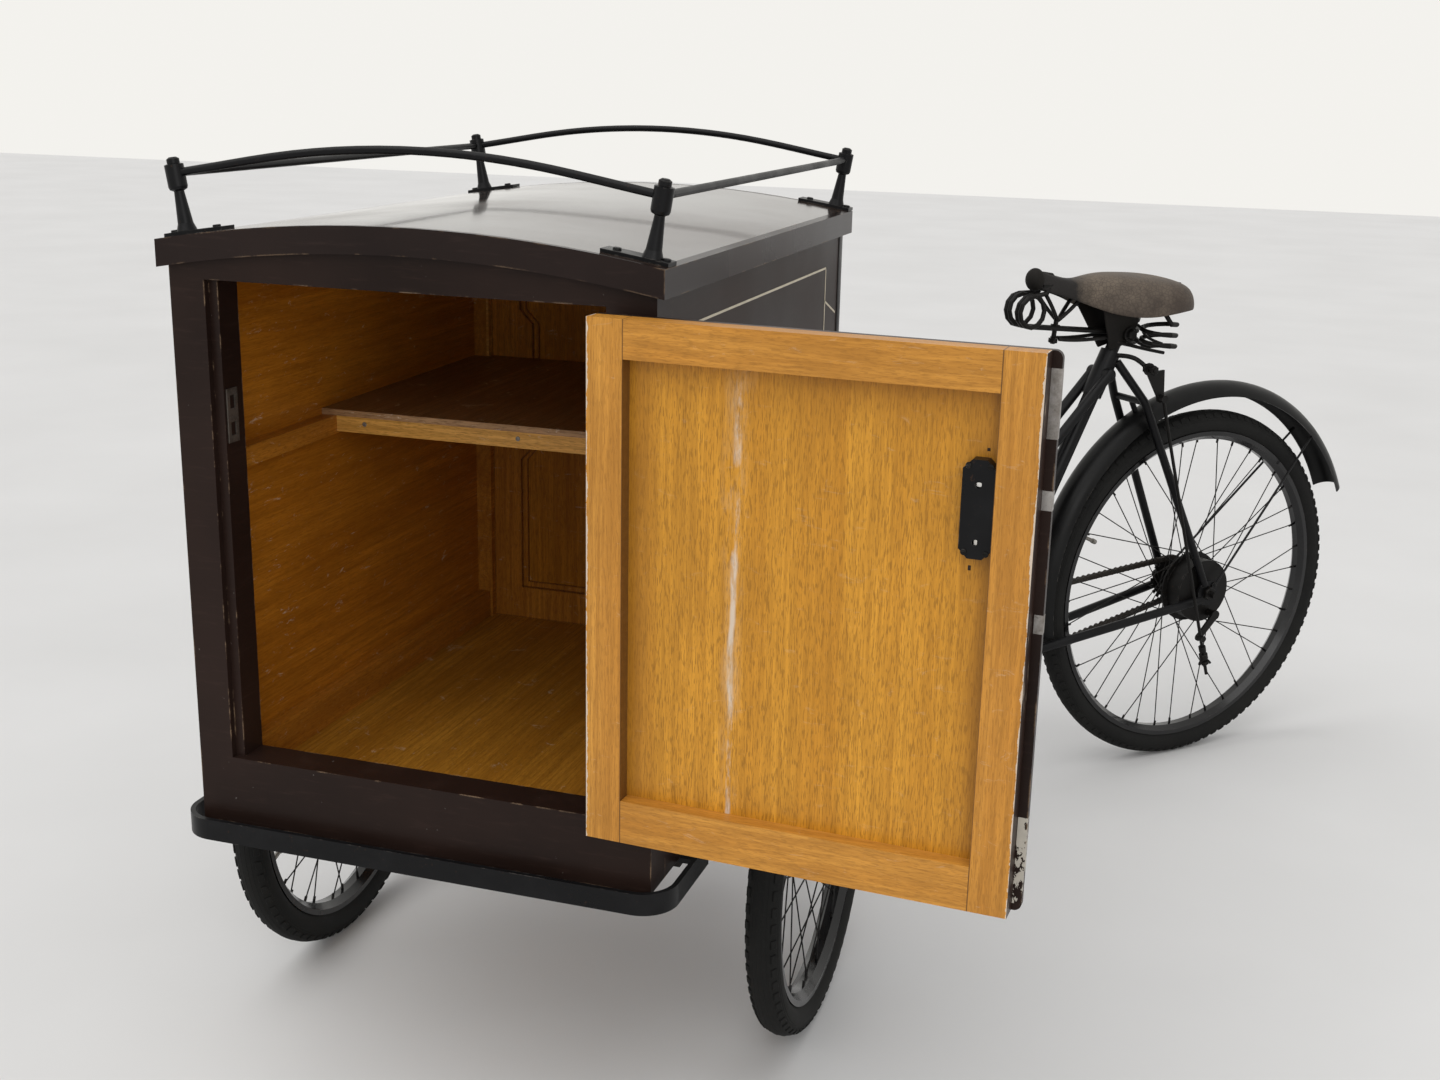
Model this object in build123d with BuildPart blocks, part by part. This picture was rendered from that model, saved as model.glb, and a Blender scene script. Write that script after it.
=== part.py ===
from build123d import *
from math import asin, atan2, ceil, cos, degrees, pi, radians, sin, sqrt
import os

# Box-carrier delivery tricycle. Everything is drawn in the carriage's own frame, steered straight and with
# the door shut: x is 0 at the middle of the box and positive on the rider's left, y is 0 at the front face
# of the box and grows towards the rider, z is 0 at the floor. The last lines turn the door and the rear
# frame to where they stand, and move the whole so that its plan is centred on the origin.

# How it stands
steer_angle = 44.5          # rear frame turned against the box
door_open = 176.4           # door swung back over the left jamb

# Box
box_width = 575.0
box_depth = 766.0
box_foot = 375.0            # height of the lower edges of the walls
wall = 12.0                 # side, back and floor boards
floor_top = 410.0
bearer = 40.0               # width of the boards under the floor
side_overhang = 10.5        # of the roof past the walls
roof_front = 8.0            # overhangs, which are also the fascia's thickness
roof_back = 14.0
roof_corner = 1069.0        # height of the roof at its side edges
roof_rise = 27.0
roof_board = 10.0
fascia_height = 30.0
jamb_depth = 46.0
jamb_width = 55.5           # front frame beside the opening
opening_low = 460.0
opening_high = 1027.0
post_width = 24.0           # back corner posts, across
post_depth = 20.0

# Shelf and battens
shelf_top = 828.0
shelf_board = 8.0
shelf_front = 286.0
shelf_batten = 24.0         # height of the battens under the shelf
batten_depth = 20.0
skirt_height = 42.0
skirt_depth = 20.0

# Back board's inner frame, with a waist behind the shelf
stile_width = 46.5
waist_step = 21.0
waist_low = 690.0
waist_high = 880.0
chamfer_run = 22.0
frame_back = 8.0
moulding = 9.0
bottom_board_top = 461.0
top_board = 60.0

# Door
door_gap = 2.5
door_frame_deep = 22.0
door_skin_deep = 8.0
door_stile = 40.0
door_top_rail = 40.0
door_bottom_rail = 48.0
door_panel_deep = 4.0
door_lip = 10.0
lip_gap = 1.5
pin_forward = 12.0          # hinge pins stand this far in front of the box
knuckle_radius = 6.0
pin_radius = 3.0
hinge_height = 84.0
hinge_leaf = 30.0
hinge_plate = 2.0
hinge_from_end = 70.0
running = 0.05              # radial clearance of a pin or axle
side_play = 0.4

# Lock
lock_width = 32.0
lock_height = 96.0
lock_deep = 14.0
lock_middle = 872.0
lock_corner = 9.0
keep_height = 62.0
keep_width = 20.0

# Guard rail and chassis
rail_out = 25.5             # past the sides of the box
rail_forward = 21.0
rail_top = 384.0
rail_height = 26.0
rail_plate = 6.0
rail_back = 128.0
rail_corner = 42.0
chassis_inset = 82.5        # from the sides of the box
chassis_bar = 30.0
chassis_deep = 24.0

# Front axle, springs and wheels
wheel_out = 75.0            # middle of a front tyre past the side of the box
axle_y = 433.0
front_radius = 254.0
front_tyre = 44.0           # section height
axle_square = 26.0
stub_radius = 8.5
spring_reach = 205.0
spring_width = 34.0
spring_leaf = 6.0

# Rear wheel
rear_radius = 335.0
rear_tyre = 42.0
hub_back = 1110.0           # from the steering pivot
dropout_half = 60.0
axle_past_nut = 12.0        # free thread at each end

# Wheel parts
tyre_bead = 12.9            # half width where the tyre sits in the rim
rim_wall = 3.0
rim_height = 16.0
rim_lip = 4.0
spoke_radius = 1.0
spoke_lean = 62.0           # degrees round the hub between a spoke's two ends
seat_gap = 0.3              # how near a piece seats on what carries it

# Drive
bracket_height = 262.0      # bottom bracket, on the seat tube's line
chain_pitch = 12.7
ring_teeth = 36
sprocket_teeth = 20
chain_line = 45.0
chain_width = 7.0
tooth_thick = 2.6
chain_slot = 3.2            # between the two rows of side plates
chain_height = 9.0
crank_length = 165.0
crank_out = 56.0
pedal_in = 72.0
pedal_length = 92.0

# Steering
pivot_behind = 36.0         # from the back of the box to the pivot
pin_king = 10.0
head_radius = 18.0
head_low = 400.0
head_high = 552.0
lug_deep = 14.0
lug_reach = 24.0
bar_inset = 25.5            # from the sides of the box to the ends of the handlebar
bracket_gap = 32.0          # between a grip and the handlebar's bracket
grip_length = 110.0
bar_height = 985.0
bar_behind = 72.0
bar_radius = 11.0

# Cycle frame, (distance behind the pivot, height)
seat_lug_low = (846.0, 716.0)
seat_tube_slope = 64.4
seat_lug_length = 84.0
tube_radius = 14.0
twin_half = 22.0
twin_radius = 9.0
stay_radius = 7.5
saddle_nose = 690.0
saddle_back = 1000.0
saddle_top = 932.0
saddle_half = 98.0

# Mudguard, centred a little behind and above the hub
guard_centre = (1128.0, 345.0)
guard_radius = 379.0
guard_half = 31.0
guard_sheet = 2.0
guard_fall = 26.0           # height of its section
guard_from = -10.0          # degrees, below the level on the front side
guard_to = 24.0             # degrees, above the level on the back side
guard_stay_turn = 47.0      # degrees, where the wire stays meet it
guard_stay = 2.2

# Roof rack
post_inset = 24.0           # from the roof's side edges
post_front = 20.0
post_behind = 10.0          # rear posts, past the back of the box
rack_foot = 74.0            # length of a post's foot, across
rack_foot_out = 22.0        # of which this much lies outward of the post
rack_foot_wide = 25.0
rack_plate = 4.0
rack_rail = 4.5
rack_arch = 34.0
collar_low = 49.0           # up a post, from the roof
collar_high = 76.0
rail_up = 67.0              # where the rails enter the collar

os.makedirs("parts", exist_ok=True)

pivot_y = box_depth + pivot_behind
half = box_width / 2
roof_width = box_width + 2 * side_overhang
opening_half = half - jamb_width
stile_outer = half - wall - post_width
panel_half = stile_outer - stile_width
waist_half = panel_half - waist_step
rail_width = box_width + 2 * rail_out
chassis_half = half - chassis_inset
spring_half = chassis_half
track = box_width + 2 * wheel_out
bar_reach = half - bar_inset
bracket_out = bar_reach - grip_length - bracket_gap
post_x = roof_width / 2 - post_inset
wall_back = box_depth - wall
post_back = box_depth + post_behind
roof_radius = ((roof_width / 2) ** 2 + roof_rise**2) / (2 * roof_rise)
roof_centre = roof_corner + roof_rise - roof_radius
under_roof = roof_radius - roof_board


def roof_z(x, radius=roof_radius):
    return roof_centre + sqrt(radius**2 - x**2)


def board(x, y, z, mode=Mode.ADD):
    """A straight board or bar between two places along each axis."""
    with Locations(((x[0] + x[1]) / 2, (y[0] + y[1]) / 2, (z[0] + z[1]) / 2)):
        Box(x[1] - x[0], y[1] - y[0], z[1] - z[0], mode=mode)


def across(y):
    """Plane facing the front at distance y, so that extruding by a negative amount goes back."""
    return Plane((0, y, 0), x_dir=(1, 0, 0), z_dir=(0, -1, 0))


def lengthwise(x):
    """Plane at distance x with its own x towards the rider and its y up; it extrudes to the right."""
    return Plane((x, 0, 0), x_dir=(0, 1, 0), z_dir=(1, 0, 0))


def arched_face(reach, foot, radius):
    """Upright face under the roof's arc, with a level foot."""
    with BuildLine() as outline:
        eave = roof_z(reach, radius)
        ThreePointArc((-reach, eave), (0, roof_z(0, radius)), (reach, eave))
        Polyline((reach, eave), (reach, foot), (-reach, foot), (-reach, eave))
    make_face(outline.edges())


def arched_strip(reach, top, bottom):
    """Face between two arcs of the roof."""
    with BuildLine() as outline:
        high, low = roof_z(reach, top), roof_z(reach, bottom)
        ThreePointArc((-reach, high), (0, roof_z(0, top)), (reach, high))
        Line((reach, high), (reach, low))
        ThreePointArc((reach, low), (0, roof_z(0, bottom)), (-reach, low))
        Line((-reach, low), (-reach, high))
    make_face(outline.edges())


def rod(start, end, radius):
    """A straight rod from start to end."""
    line = Vector(end) - Vector(start)
    with BuildSketch(Plane(Vector(start), z_dir=line)) as section:
        Circle(radius)
    extrude(section.sketch, amount=line.length)


def bent_rod(points, radius, bends):
    """A rod along straight runs joined by arcs."""
    with BuildLine() as path:
        FilletPolyline(*points, radius=bends)
    with BuildSketch(Plane(path.line @ 0, z_dir=path.line % 0)) as section:
        Circle(radius)
    sweep(section.sketch, path=path.line)


# Box boards

with BuildPart() as front_frame:
    with BuildSketch(across(0)):
        arched_face(half, box_foot, under_roof)
        with Locations((0, (opening_low + opening_high) / 2)):
            Rectangle(2 * opening_half, opening_high - opening_low, mode=Mode.SUBTRACT)
    extrude(amount=-jamb_depth)
    # rebate for the door's lip down the lock side
    board((-opening_half - door_lip - lip_gap, -opening_half), (0, door_skin_deep + side_play),
          (opening_low, opening_high), Mode.SUBTRACT)
front_frame.part.label = "box_front_frame"


def side_wall(side):
    """Side board from the front frame to the back of the box, its top under the roof board."""
    with BuildPart() as wall_board:
        with BuildSketch(across(jamb_depth)):
            with BuildLine():
                Polyline((side * half, box_foot), (side * (half - wall), box_foot),
                         (side * (half - wall), roof_z(half - wall, under_roof)),
                         (side * half, roof_z(half, under_roof)), close=True)
            make_face()
        extrude(amount=-(box_depth - jamb_depth))
    return wall_board.part


side_left = side_wall(1)
side_left.label = "box_side_left"
side_right = side_wall(-1)
side_right.label = "box_side_right"

with BuildPart() as back_board:
    with BuildSketch(across(wall_back)):
        arched_face(half - wall, box_foot, under_roof)
    extrude(amount=-wall)
back_board.part.label = "box_back"

with BuildPart() as floor_board:
    board((-half + wall, half - wall), (jamb_depth, wall_back), (floor_top - wall, floor_top))
    # bearers between the walls, down to the chassis
    for y in (jamb_depth + bearer / 2, axle_y, wall_back - bearer / 2):
        board((-half + wall, half - wall), (y - bearer / 2, y + bearer / 2), (box_foot, floor_top - wall))
floor_board.part.label = "box_floor"

with BuildPart() as roof:
    with BuildSketch(across(0)):
        arched_strip(half, roof_radius, under_roof)
    extrude(amount=-box_depth)
roof.part.label = "roof_board"

with BuildPart() as fascia:
    with BuildSketch(across(-roof_front)):
        arched_strip(roof_width / 2, roof_radius, roof_radius - fascia_height)
    extrude(amount=-(roof_front + box_depth + roof_back))
    board((-half, half), (0, box_depth), (box_foot, roof_corner + 2 * roof_rise), Mode.SUBTRACT)
fascia.part.label = "roof_fascia"

# Fittings inside the box

def waisted_outline(inset):
    """Outline of the panel seen inside the back: it narrows behind the shelf and has clipped shoulders."""
    wide = panel_half - inset
    narrow = waist_half - inset
    low = bottom_board_top + inset
    top = roof_corner - top_board - inset
    Polyline((-wide, low), (wide, low), (wide, waist_low - chamfer_run), (narrow, waist_low),
             (narrow, waist_high), (wide, waist_high + chamfer_run), (wide, top), (-wide, top),
             (-wide, waist_high + chamfer_run), (-narrow, waist_high), (-narrow, waist_low),
             (-wide, waist_low - chamfer_run), close=True)


with BuildPart() as back_frame:
    with BuildSketch(across(wall_back - frame_back)):
        with Locations((0, (floor_top + roof_corner - wall) / 2)):
            Rectangle(2 * stile_outer, roof_corner - wall - floor_top)
        with BuildLine():
            waisted_outline(0)
        make_face(mode=Mode.SUBTRACT)
    extrude(amount=-frame_back)
    with BuildSketch(across(wall_back - frame_back / 2)):
        with BuildLine():
            waisted_outline(0)
        make_face()
        with BuildLine():
            waisted_outline(moulding)
        make_face(mode=Mode.SUBTRACT)
    extrude(amount=-frame_back / 2)
back_frame.part.label = "back_inner_frame"

shelf_low = shelf_top - shelf_board
post_front_y = wall_back - post_depth
with BuildPart() as inner_battens:
    for side in (-1, 1):
        outer = side * (half - wall)
        for inward, y_from, y_to, low, high in (
            (post_width, post_front_y, wall_back, floor_top, roof_z(half - wall, under_roof)),
            (skirt_depth, jamb_depth, post_front_y, floor_top, floor_top + skirt_height),
            (batten_depth, jamb_depth, post_front_y, shelf_low - shelf_batten, shelf_low),
        ):
            inner = outer - side * inward
            board((min(outer, inner), max(outer, inner)), (y_from, y_to), (low, high))
    board((-half + wall + batten_depth, half - wall - batten_depth),
          (shelf_front + 2, shelf_front + 2 + batten_depth), (shelf_low - shelf_batten + 3, shelf_low))
inner_battens.part.label = "inner_battens"

with BuildPart() as shelf:
    board((-half + wall, half - wall), (shelf_front, post_front_y), (shelf_low, shelf_top))
    board((-stile_outer, stile_outer), (post_front_y, wall_back - frame_back), (shelf_low, shelf_top))
shelf.part.label = "shelf"

with BuildPart() as lock_keep:
    with BuildSketch(lengthwise(-opening_half + seat_gap)):
        with Locations((door_skin_deep + 4 + keep_width / 2, lock_middle)):
            Rectangle(keep_width, keep_height)
            with Locations((0, keep_height / 4), (0, -keep_height / 4)):
                Rectangle(keep_width / 2, keep_height / 4, mode=Mode.SUBTRACT)
    extrude(amount=1.6)
lock_keep.part.label = "lock_keep"

# Door, drawn shut

door_left = opening_half - door_gap
door_low = opening_low + door_gap
door_high = opening_high - door_gap

with BuildPart() as door_skin:
    board((-door_left - door_lip, door_left), (0, door_skin_deep), (door_low, door_high))
    fillet(door_skin.edges().filter_by(Axis.Y).group_by(Axis.X)[0], radius=8)
door_skin.part.label = "door_skin"

with BuildPart() as door_frame:
    with BuildSketch(across(door_skin_deep)):
        with Locations((0, (door_low + door_high) / 2)):
            Rectangle(2 * door_left, door_high - door_low)
        panel_low = door_low + door_bottom_rail
        panel_high = door_high - door_top_rail
        with Locations((0, (panel_low + panel_high) / 2)):
            Rectangle(2 * (door_left - door_stile), panel_high - panel_low, mode=Mode.SUBTRACT)
    extrude(amount=-door_frame_deep)
door_frame.part.label = "door_frame"

with BuildPart() as door_panel:
    board((-door_left + door_stile, door_left - door_stile),
          (door_skin_deep, door_skin_deep + door_panel_deep), (panel_low, panel_high))
door_panel.part.label = "door_panel"

lock_x = -door_left + door_stile + lock_width / 2
lock_face = door_skin_deep + door_panel_deep
with BuildPart() as lock_case:
    with BuildSketch(across(lock_face)):
        with Locations((lock_x, lock_middle)):
            Rectangle(lock_width, lock_height)
        chamfer(vertices(), length=lock_corner)
        with Locations((lock_x, lock_middle + lock_height / 4), (lock_x, lock_middle - lock_height / 3)):
            Circle(3.2, mode=Mode.SUBTRACT)
    extrude(amount=-lock_deep)
lock_case.part.label = "lock_case"

# Hinges: each leaf is a plate, a web and every other knuckle round the pin

pin_x = opening_half
hinge_middles = [door_low + hinge_from_end, door_high - hinge_from_end]
knuckle_count = 5


def hinge_leaves(side, knuckles):
    """One leaf of both hinges: side 1 lies on the jamb, side -1 on the door's outer face."""
    reach = side * hinge_leaf
    face = -hinge_plate - (0 if side > 0 else seat_gap)
    pitch = hinge_height / knuckle_count
    with BuildPart() as leaves:
        for middle in hinge_middles:
            base = middle - hinge_height / 2
            near = pin_x + side * knuckle_radius / 2
            board((min(near, pin_x + reach), max(near, pin_x + reach)), (face, face + hinge_plate),
                  (base, base + hinge_height))
            for k in knuckles:
                low_z = base + k * pitch + side_play / 2
                high_z = base + (k + 1) * pitch - side_play / 2
                web = pin_x + side * (knuckle_radius - 1)
                board((min(near, web), max(near, web)), (-pin_forward, face), (low_z, high_z))
                with BuildSketch(Plane.XY.offset(low_z)):
                    with Locations((pin_x, -pin_forward)):
                        Circle(knuckle_radius)
                extrude(amount=high_z - low_z)
            with BuildSketch(Plane.XY.offset(base - 3)):
                with Locations((pin_x, -pin_forward)):
                    Circle(pin_radius + (0 if side > 0 else running))
            extrude(amount=hinge_height + 6, mode=Mode.ADD if side > 0 else Mode.SUBTRACT)
    return leaves.part


hinges_fixed = hinge_leaves(1, (0, 2, 4))
hinges_fixed.label = "hinges_fixed"
hinges_door = hinge_leaves(-1, (1, 3))
hinges_door.label = "hinges_door"

# Guard rail, a flat hoop round the foot of the box

with BuildPart() as guard_rail:
    outer = rail_width / 2
    with BuildSketch(Plane.XY.offset(rail_top - rail_height)):
        with Locations((0, (rail_back - rail_forward) / 2)):
            Rectangle(rail_width, rail_back + rail_forward)
        fillet(vertices().group_by(Axis.Y)[0], radius=rail_corner)
        with BuildSketch(mode=Mode.SUBTRACT):
            with Locations((0, (rail_back - rail_forward + 2 * rail_plate) / 2)):
                Rectangle(rail_width - 2 * rail_plate, rail_back + rail_forward)
            fillet(vertices().group_by(Axis.Y)[0], radius=rail_corner - rail_plate)
    extrude(amount=rail_height)
    # feet turned in under the box at the hoop's two ends
    for side in (-1, 1):
        inner = side * (half - wall)
        edge = side * outer
        board((min(inner, edge), max(inner, edge)), (rail_back - chassis_bar, rail_back),
              (box_foot - rail_plate, box_foot))
guard_rail.part.label = "guard_rail"

chassis_top = box_foot
chassis_low = chassis_top - chassis_deep
cross_bars = (
    (rail_back - chassis_bar / 2, half),
    (axle_y, chassis_half - rail_plate),
    (box_depth - chassis_bar / 2, chassis_half - rail_plate),
)

with BuildPart() as chassis:
    for side in (-1, 1):
        with BuildSketch(across(jamb_depth)):
            x = side * chassis_half
            with BuildLine():
                Polyline((x - side * chassis_bar, chassis_top), (x, chassis_top), (x, chassis_low),
                         (x - side * rail_plate, chassis_low),
                         (x - side * rail_plate, chassis_top - rail_plate),
                         (x - side * chassis_bar, chassis_top - rail_plate), close=True)
            make_face()
        extrude(amount=-(box_depth - jamb_depth))
    for y, reach in cross_bars:
        board((-reach, reach), (y - chassis_bar / 2, y + chassis_bar / 2),
              (chassis_top - 2 * rail_plate, chassis_top - rail_plate))
chassis.part.label = "chassis"

# Front axle and springs

axle_z = front_radius
hub_half = 32.0
stub_end = track / 2 + hub_half + 16
spring_seat = axle_z + axle_square / 2
spring_leaves = 4
spring_rise = chassis_low - 12 - spring_seat - spring_leaves * spring_leaf

with BuildPart() as front_axle:
    board((-track / 2 + 60, track / 2 - 60), (axle_y - axle_square / 2, axle_y + axle_square / 2),
          (axle_z - axle_square / 2, axle_z + axle_square / 2))
    rod((-stub_end, axle_y, axle_z), (stub_end, axle_y, axle_z), stub_radius)
    for side in (-1, 1):
        for inner, outer in ((track / 2 - 60, track / 2 - hub_half - side_play),
                             (track / 2 + hub_half + side_play, track / 2 + hub_half + 12)):
            rod((side * inner, axle_y, axle_z), (side * outer, axle_y, axle_z), 14)
front_axle.part.label = "front_axle"

with BuildPart() as springs:
    for side in (-1, 1):
        low_x = side * spring_half - spring_width / 2
        with BuildSketch(lengthwise(low_x)):
            for k in range(spring_leaves):
                reach = spring_reach * (1 - 0.22 * k)
                lift = spring_rise * (reach / spring_reach) ** 2
                base = spring_seat + (spring_leaves - 1 - k) * spring_leaf
                with BuildLine():
                    ThreePointArc((axle_y - reach, base + lift), (axle_y, base),
                                  (axle_y + reach, base + lift))
                    Line((axle_y + reach, base + lift), (axle_y + reach, base + lift + spring_leaf))
                    ThreePointArc((axle_y + reach, base + lift + spring_leaf), (axle_y, base + spring_leaf),
                                  (axle_y - reach, base + lift + spring_leaf))
                    Line((axle_y - reach, base + lift + spring_leaf), (axle_y - reach, base + lift))
                make_face()
        extrude(amount=spring_width)
        # hangers under the chassis at each end
        for end in (-1, 1):
            y = axle_y + end * (spring_reach - 12)
            board((low_x, low_x + spring_width), (y - 12, y + 12), (chassis_low - 16, chassis_low))
springs.part.label = "leaf_springs"

# Head: two lugs behind the box hold the king pin

with BuildPart() as head_brackets:
    for low_z in (head_low - side_play - lug_deep, head_high + side_play):
        with BuildSketch(Plane.XY.offset(low_z)):
            with Locations((0, pivot_y)):
                Circle(lug_reach)
            with Locations((0, (box_depth + pivot_y) / 2)):
                Rectangle(2 * lug_reach, pivot_y - box_depth)
        extrude(amount=lug_deep)
    board((-lug_reach - 20, lug_reach + 20), (box_depth, box_depth + 6),
          (head_low - 3 * lug_deep, head_high + 3 * lug_deep))
    with BuildSketch(Plane.XY.offset(head_low - 2 * lug_deep)):
        with Locations((0, pivot_y)):
            Circle(pin_king)
    extrude(amount=head_high - head_low + 4 * lug_deep)
head_brackets.part.label = "head_brackets"

# Handlebar across the back of the box

bar_y = box_depth + bar_behind
with BuildPart() as handlebar:
    rod((-bar_reach + 4, bar_y, bar_height), (bar_reach - 4, bar_y, bar_height), bar_radius)
    for side in (-1, 1):
        x = side * bracket_out
        rod((x, box_depth + 5, bar_height - 40), (x, bar_y, bar_height), bar_radius - 2)
        board((x - 22, x + 22), (box_depth, box_depth + 6), (bar_height - 75, bar_height - 10))
handlebar.part.label = "handlebar"

with BuildPart() as grips:
    for side in (-1, 1):
        with BuildSketch(lengthwise(side * bar_reach - (0 if side < 0 else grip_length))):
            with Locations((bar_y, bar_height)):
                Circle(bar_radius + 4)
                Circle(bar_radius, mode=Mode.SUBTRACT)
        extrude(amount=grip_length)
grips.part.label = "handlebar_grips"

# Roof rack

post_lean = (post_x / roof_radius, sqrt(1 - (post_x / roof_radius) ** 2))
rail_end = (post_x + rail_up * post_lean[0], roof_z(post_x) + rail_up * post_lean[1])

with BuildPart() as roof_rack:
    for side in (-1, 1):
        x = side * post_x
        inner = x - side * (rack_foot - rack_foot_out)
        outer = x + side * rack_foot_out
        for y in (post_front, post_back):
            # foot that follows the roof
            with BuildSketch(across(y - rack_foot_wide / 2)):
                with BuildLine():
                    Line((inner, roof_z(inner)), (inner, roof_z(inner) + rack_plate))
                    ThreePointArc((inner, roof_z(inner) + rack_plate), (x, roof_z(x) + rack_plate),
                                  (outer, roof_z(outer) + rack_plate))
                    Line((outer, roof_z(outer) + rack_plate), (outer, roof_z(outer)))
                    ThreePointArc((outer, roof_z(outer)), (x, roof_z(x)), (inner, roof_z(inner)))
                make_face()
            extrude(amount=-rack_foot_wide)
            # turned post, square to the roof
            base = Vector(x, y, roof_z(x))
            with BuildSketch(Plane(base, x_dir=(0, 1, 0), z_dir=(post_lean[1], 0, -side * post_lean[0]))):
                with BuildLine():
                    Polyline((0, 2), (12, 2), (8.5, 12), (5.5, collar_low - 2), (9.5, collar_low),
                             (10.5, collar_low + 3), (10.5, collar_high), (7, collar_high + 1),
                             (7, collar_high + 6), (4, collar_high + 8), (0, collar_high + 8), close=True)
                make_face()
            revolve(axis=Axis(base, (side * post_lean[0], 0, post_lean[1])))
    for y in (post_front, post_back):
        with BuildLine() as path:
            Spline((-rail_end[0], y, rail_end[1]), (-0.55 * post_x, y, rail_end[1] + 0.68 * rack_arch),
                   (0, y, rail_end[1] + rack_arch), (0.55 * post_x, y, rail_end[1] + 0.68 * rack_arch),
                   (rail_end[0], y, rail_end[1]), tangents=((1, 0, 0.16), (1, 0, -0.16)))
        with BuildSketch(Plane(path.line @ 0, z_dir=path.line % 0)):
            Circle(rack_rail)
        sweep(path=path.line)
    for side in (-1, 1):
        rod((side * rail_end[0], post_front, rail_end[1]),
            (side * rail_end[0], post_back, rail_end[1]), rack_rail)
roof_rack.part.label = "roof_rack"


# Wheels, each about an axle along x

def wheel_tyre(x, y, z, radius, section):
    bead = radius - section
    with BuildPart() as tyre:
        with BuildSketch(Plane((x, y, z), x_dir=(1, 0, 0), z_dir=(0, -1, 0))):
            with BuildLine():
                ThreePointArc((-tyre_bead, bead + rim_lip), (0, radius), (tyre_bead, bead + rim_lip))
                Polyline((tyre_bead, bead + rim_lip), (tyre_bead, bead), (-tyre_bead, bead),
                         (-tyre_bead, bead + rim_lip))
            make_face()
        revolve(axis=Axis((x, y, z), (1, 0, 0)))
    return tyre.part


def wheel_rim(x, y, z, radius, section):
    bead = radius - section
    wide = tyre_bead + rim_wall
    with BuildPart() as rim:
        with BuildSketch(Plane((x, y, z), x_dir=(1, 0, 0), z_dir=(0, -1, 0))):
            with BuildLine():
                Polyline((-wide, bead + rim_lip), (-tyre_bead, bead + rim_lip), (-tyre_bead, bead),
                         (tyre_bead, bead), (tyre_bead, bead + rim_lip), (wide, bead + rim_lip),
                         (wide, bead - rim_lip), (tyre_bead / 2, bead - rim_height + rim_lip),
                         (-tyre_bead / 2, bead - rim_height + rim_lip),
                         (-wide, bead - rim_lip), close=True)
            make_face()
        revolve(axis=Axis((x, y, z), (1, 0, 0)))
    return rim.part


def add_spokes(x, y, z, rim_inner, flanges, count):
    """Crossed spokes. flanges holds (offset, hole radius, half thickness) of each hub flange."""
    per_side = count // 2
    for f, (offset, hole, thick) in enumerate(flanges):
        toward = 1 if offset > 0 else -1
        for k in range(per_side):
            rim_turn = 2 * pi * (k + f / 2) / per_side
            outer = k % 2
            hub_turn = rim_turn + radians(spoke_lean if outer else -spoke_lean)
            clear = thick + spoke_radius + (4 * seat_gap if outer else seat_gap)
            face = offset + (clear if outer else -clear) * toward
            rim_side = toward * (4.6 if outer else 2.0)
            start = (x + face, y + hole * cos(hub_turn), z + hole * sin(hub_turn))
            end = (x + rim_side, y + rim_inner * cos(rim_turn), z + rim_inner * sin(rim_turn))
            rod(start, end, spoke_radius)


front_hub_flange = (27.0, 26.0, 1.6)
front_rim_inner = front_radius - front_tyre - rim_height + rim_lip - seat_gap


def front_wheel(side):
    x = side * track / 2
    offset, hole, thick = front_hub_flange
    pieces = {}
    pieces["tyre"] = wheel_tyre(x, axle_y, axle_z, front_radius, front_tyre)
    pieces["rim"] = wheel_rim(x, axle_y, axle_z, front_radius, front_tyre)
    with BuildPart() as hub:
        with BuildSketch(Plane((x, axle_y, axle_z), x_dir=(1, 0, 0), z_dir=(0, -1, 0))):
            bore = stub_radius + running
            with BuildLine():
                Polyline((-hub_half, bore), (-hub_half, 17), (-offset - thick, 17),
                         (-offset - thick, hole + 5), (-offset + thick, hole + 5),
                         (-offset + thick, 15), (offset - thick, 15),
                         (offset - thick, hole + 5), (offset + thick, hole + 5), (offset + thick, 17),
                         (hub_half, 17), (hub_half, bore), close=True)
            make_face()
        revolve(axis=Axis((x, axle_y, axle_z), (1, 0, 0)))
        add_spokes(x, axle_y, axle_z, front_rim_inner, ((-offset, hole, thick), (offset, hole, thick)), 32)
    pieces["hub"] = hub.part
    name = "left" if side > 0 else "right"
    for kind, piece in pieces.items():
        piece.label = f"front_{kind}_{name}"
    return list(pieces.values())


front_left = front_wheel(1)
front_right = front_wheel(-1)

# Rear wheel with its drum on the left and the sprocket on the right

hub_y = pivot_y + hub_back
hub_z = rear_radius
drum_radius = 58.0
drum_out = 44.0
drum_in = 10.0
rear_axle_radius = 6.0
rear_flanges = ((-28.0, 30.0, 1.6), (12.0, 62.0, 1.8))
rear_rim_inner = rear_radius - rear_tyre - rim_height + rim_lip - seat_gap
sprocket_radius = chain_pitch * sprocket_teeth / (2 * pi)
ring_radius = chain_pitch * ring_teeth / (2 * pi)

rear_tyre_piece = wheel_tyre(0, hub_y, hub_z, rear_radius, rear_tyre)
rear_tyre_piece.label = "rear_tyre"
rear_rim_piece = wheel_rim(0, hub_y, hub_z, rear_radius, rear_tyre)
rear_rim_piece.label = "rear_rim"

def add_toothed_wheel(x, y, z, teeth, phase, bore, holes):
    """Chainwheel: a disc whose rim is notched for the chain's rollers."""
    radius = chain_pitch * teeth / (2 * pi)
    with BuildSketch(lengthwise(x - tooth_thick / 2)) as disc:
        with Locations((y, z)):
            Circle(radius + 3.2)
            Circle(bore, mode=Mode.SUBTRACT)
            with PolarLocations(radius + 0.6, teeth, start_angle=degrees(phase)):
                Rectangle(8.0, 6.4, mode=Mode.SUBTRACT)
            if holes:
                with PolarLocations(radius * 0.63, holes):
                    Circle(radius * 0.18, mode=Mode.SUBTRACT)
    extrude(disc.sketch, amount=tooth_thick)


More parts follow.
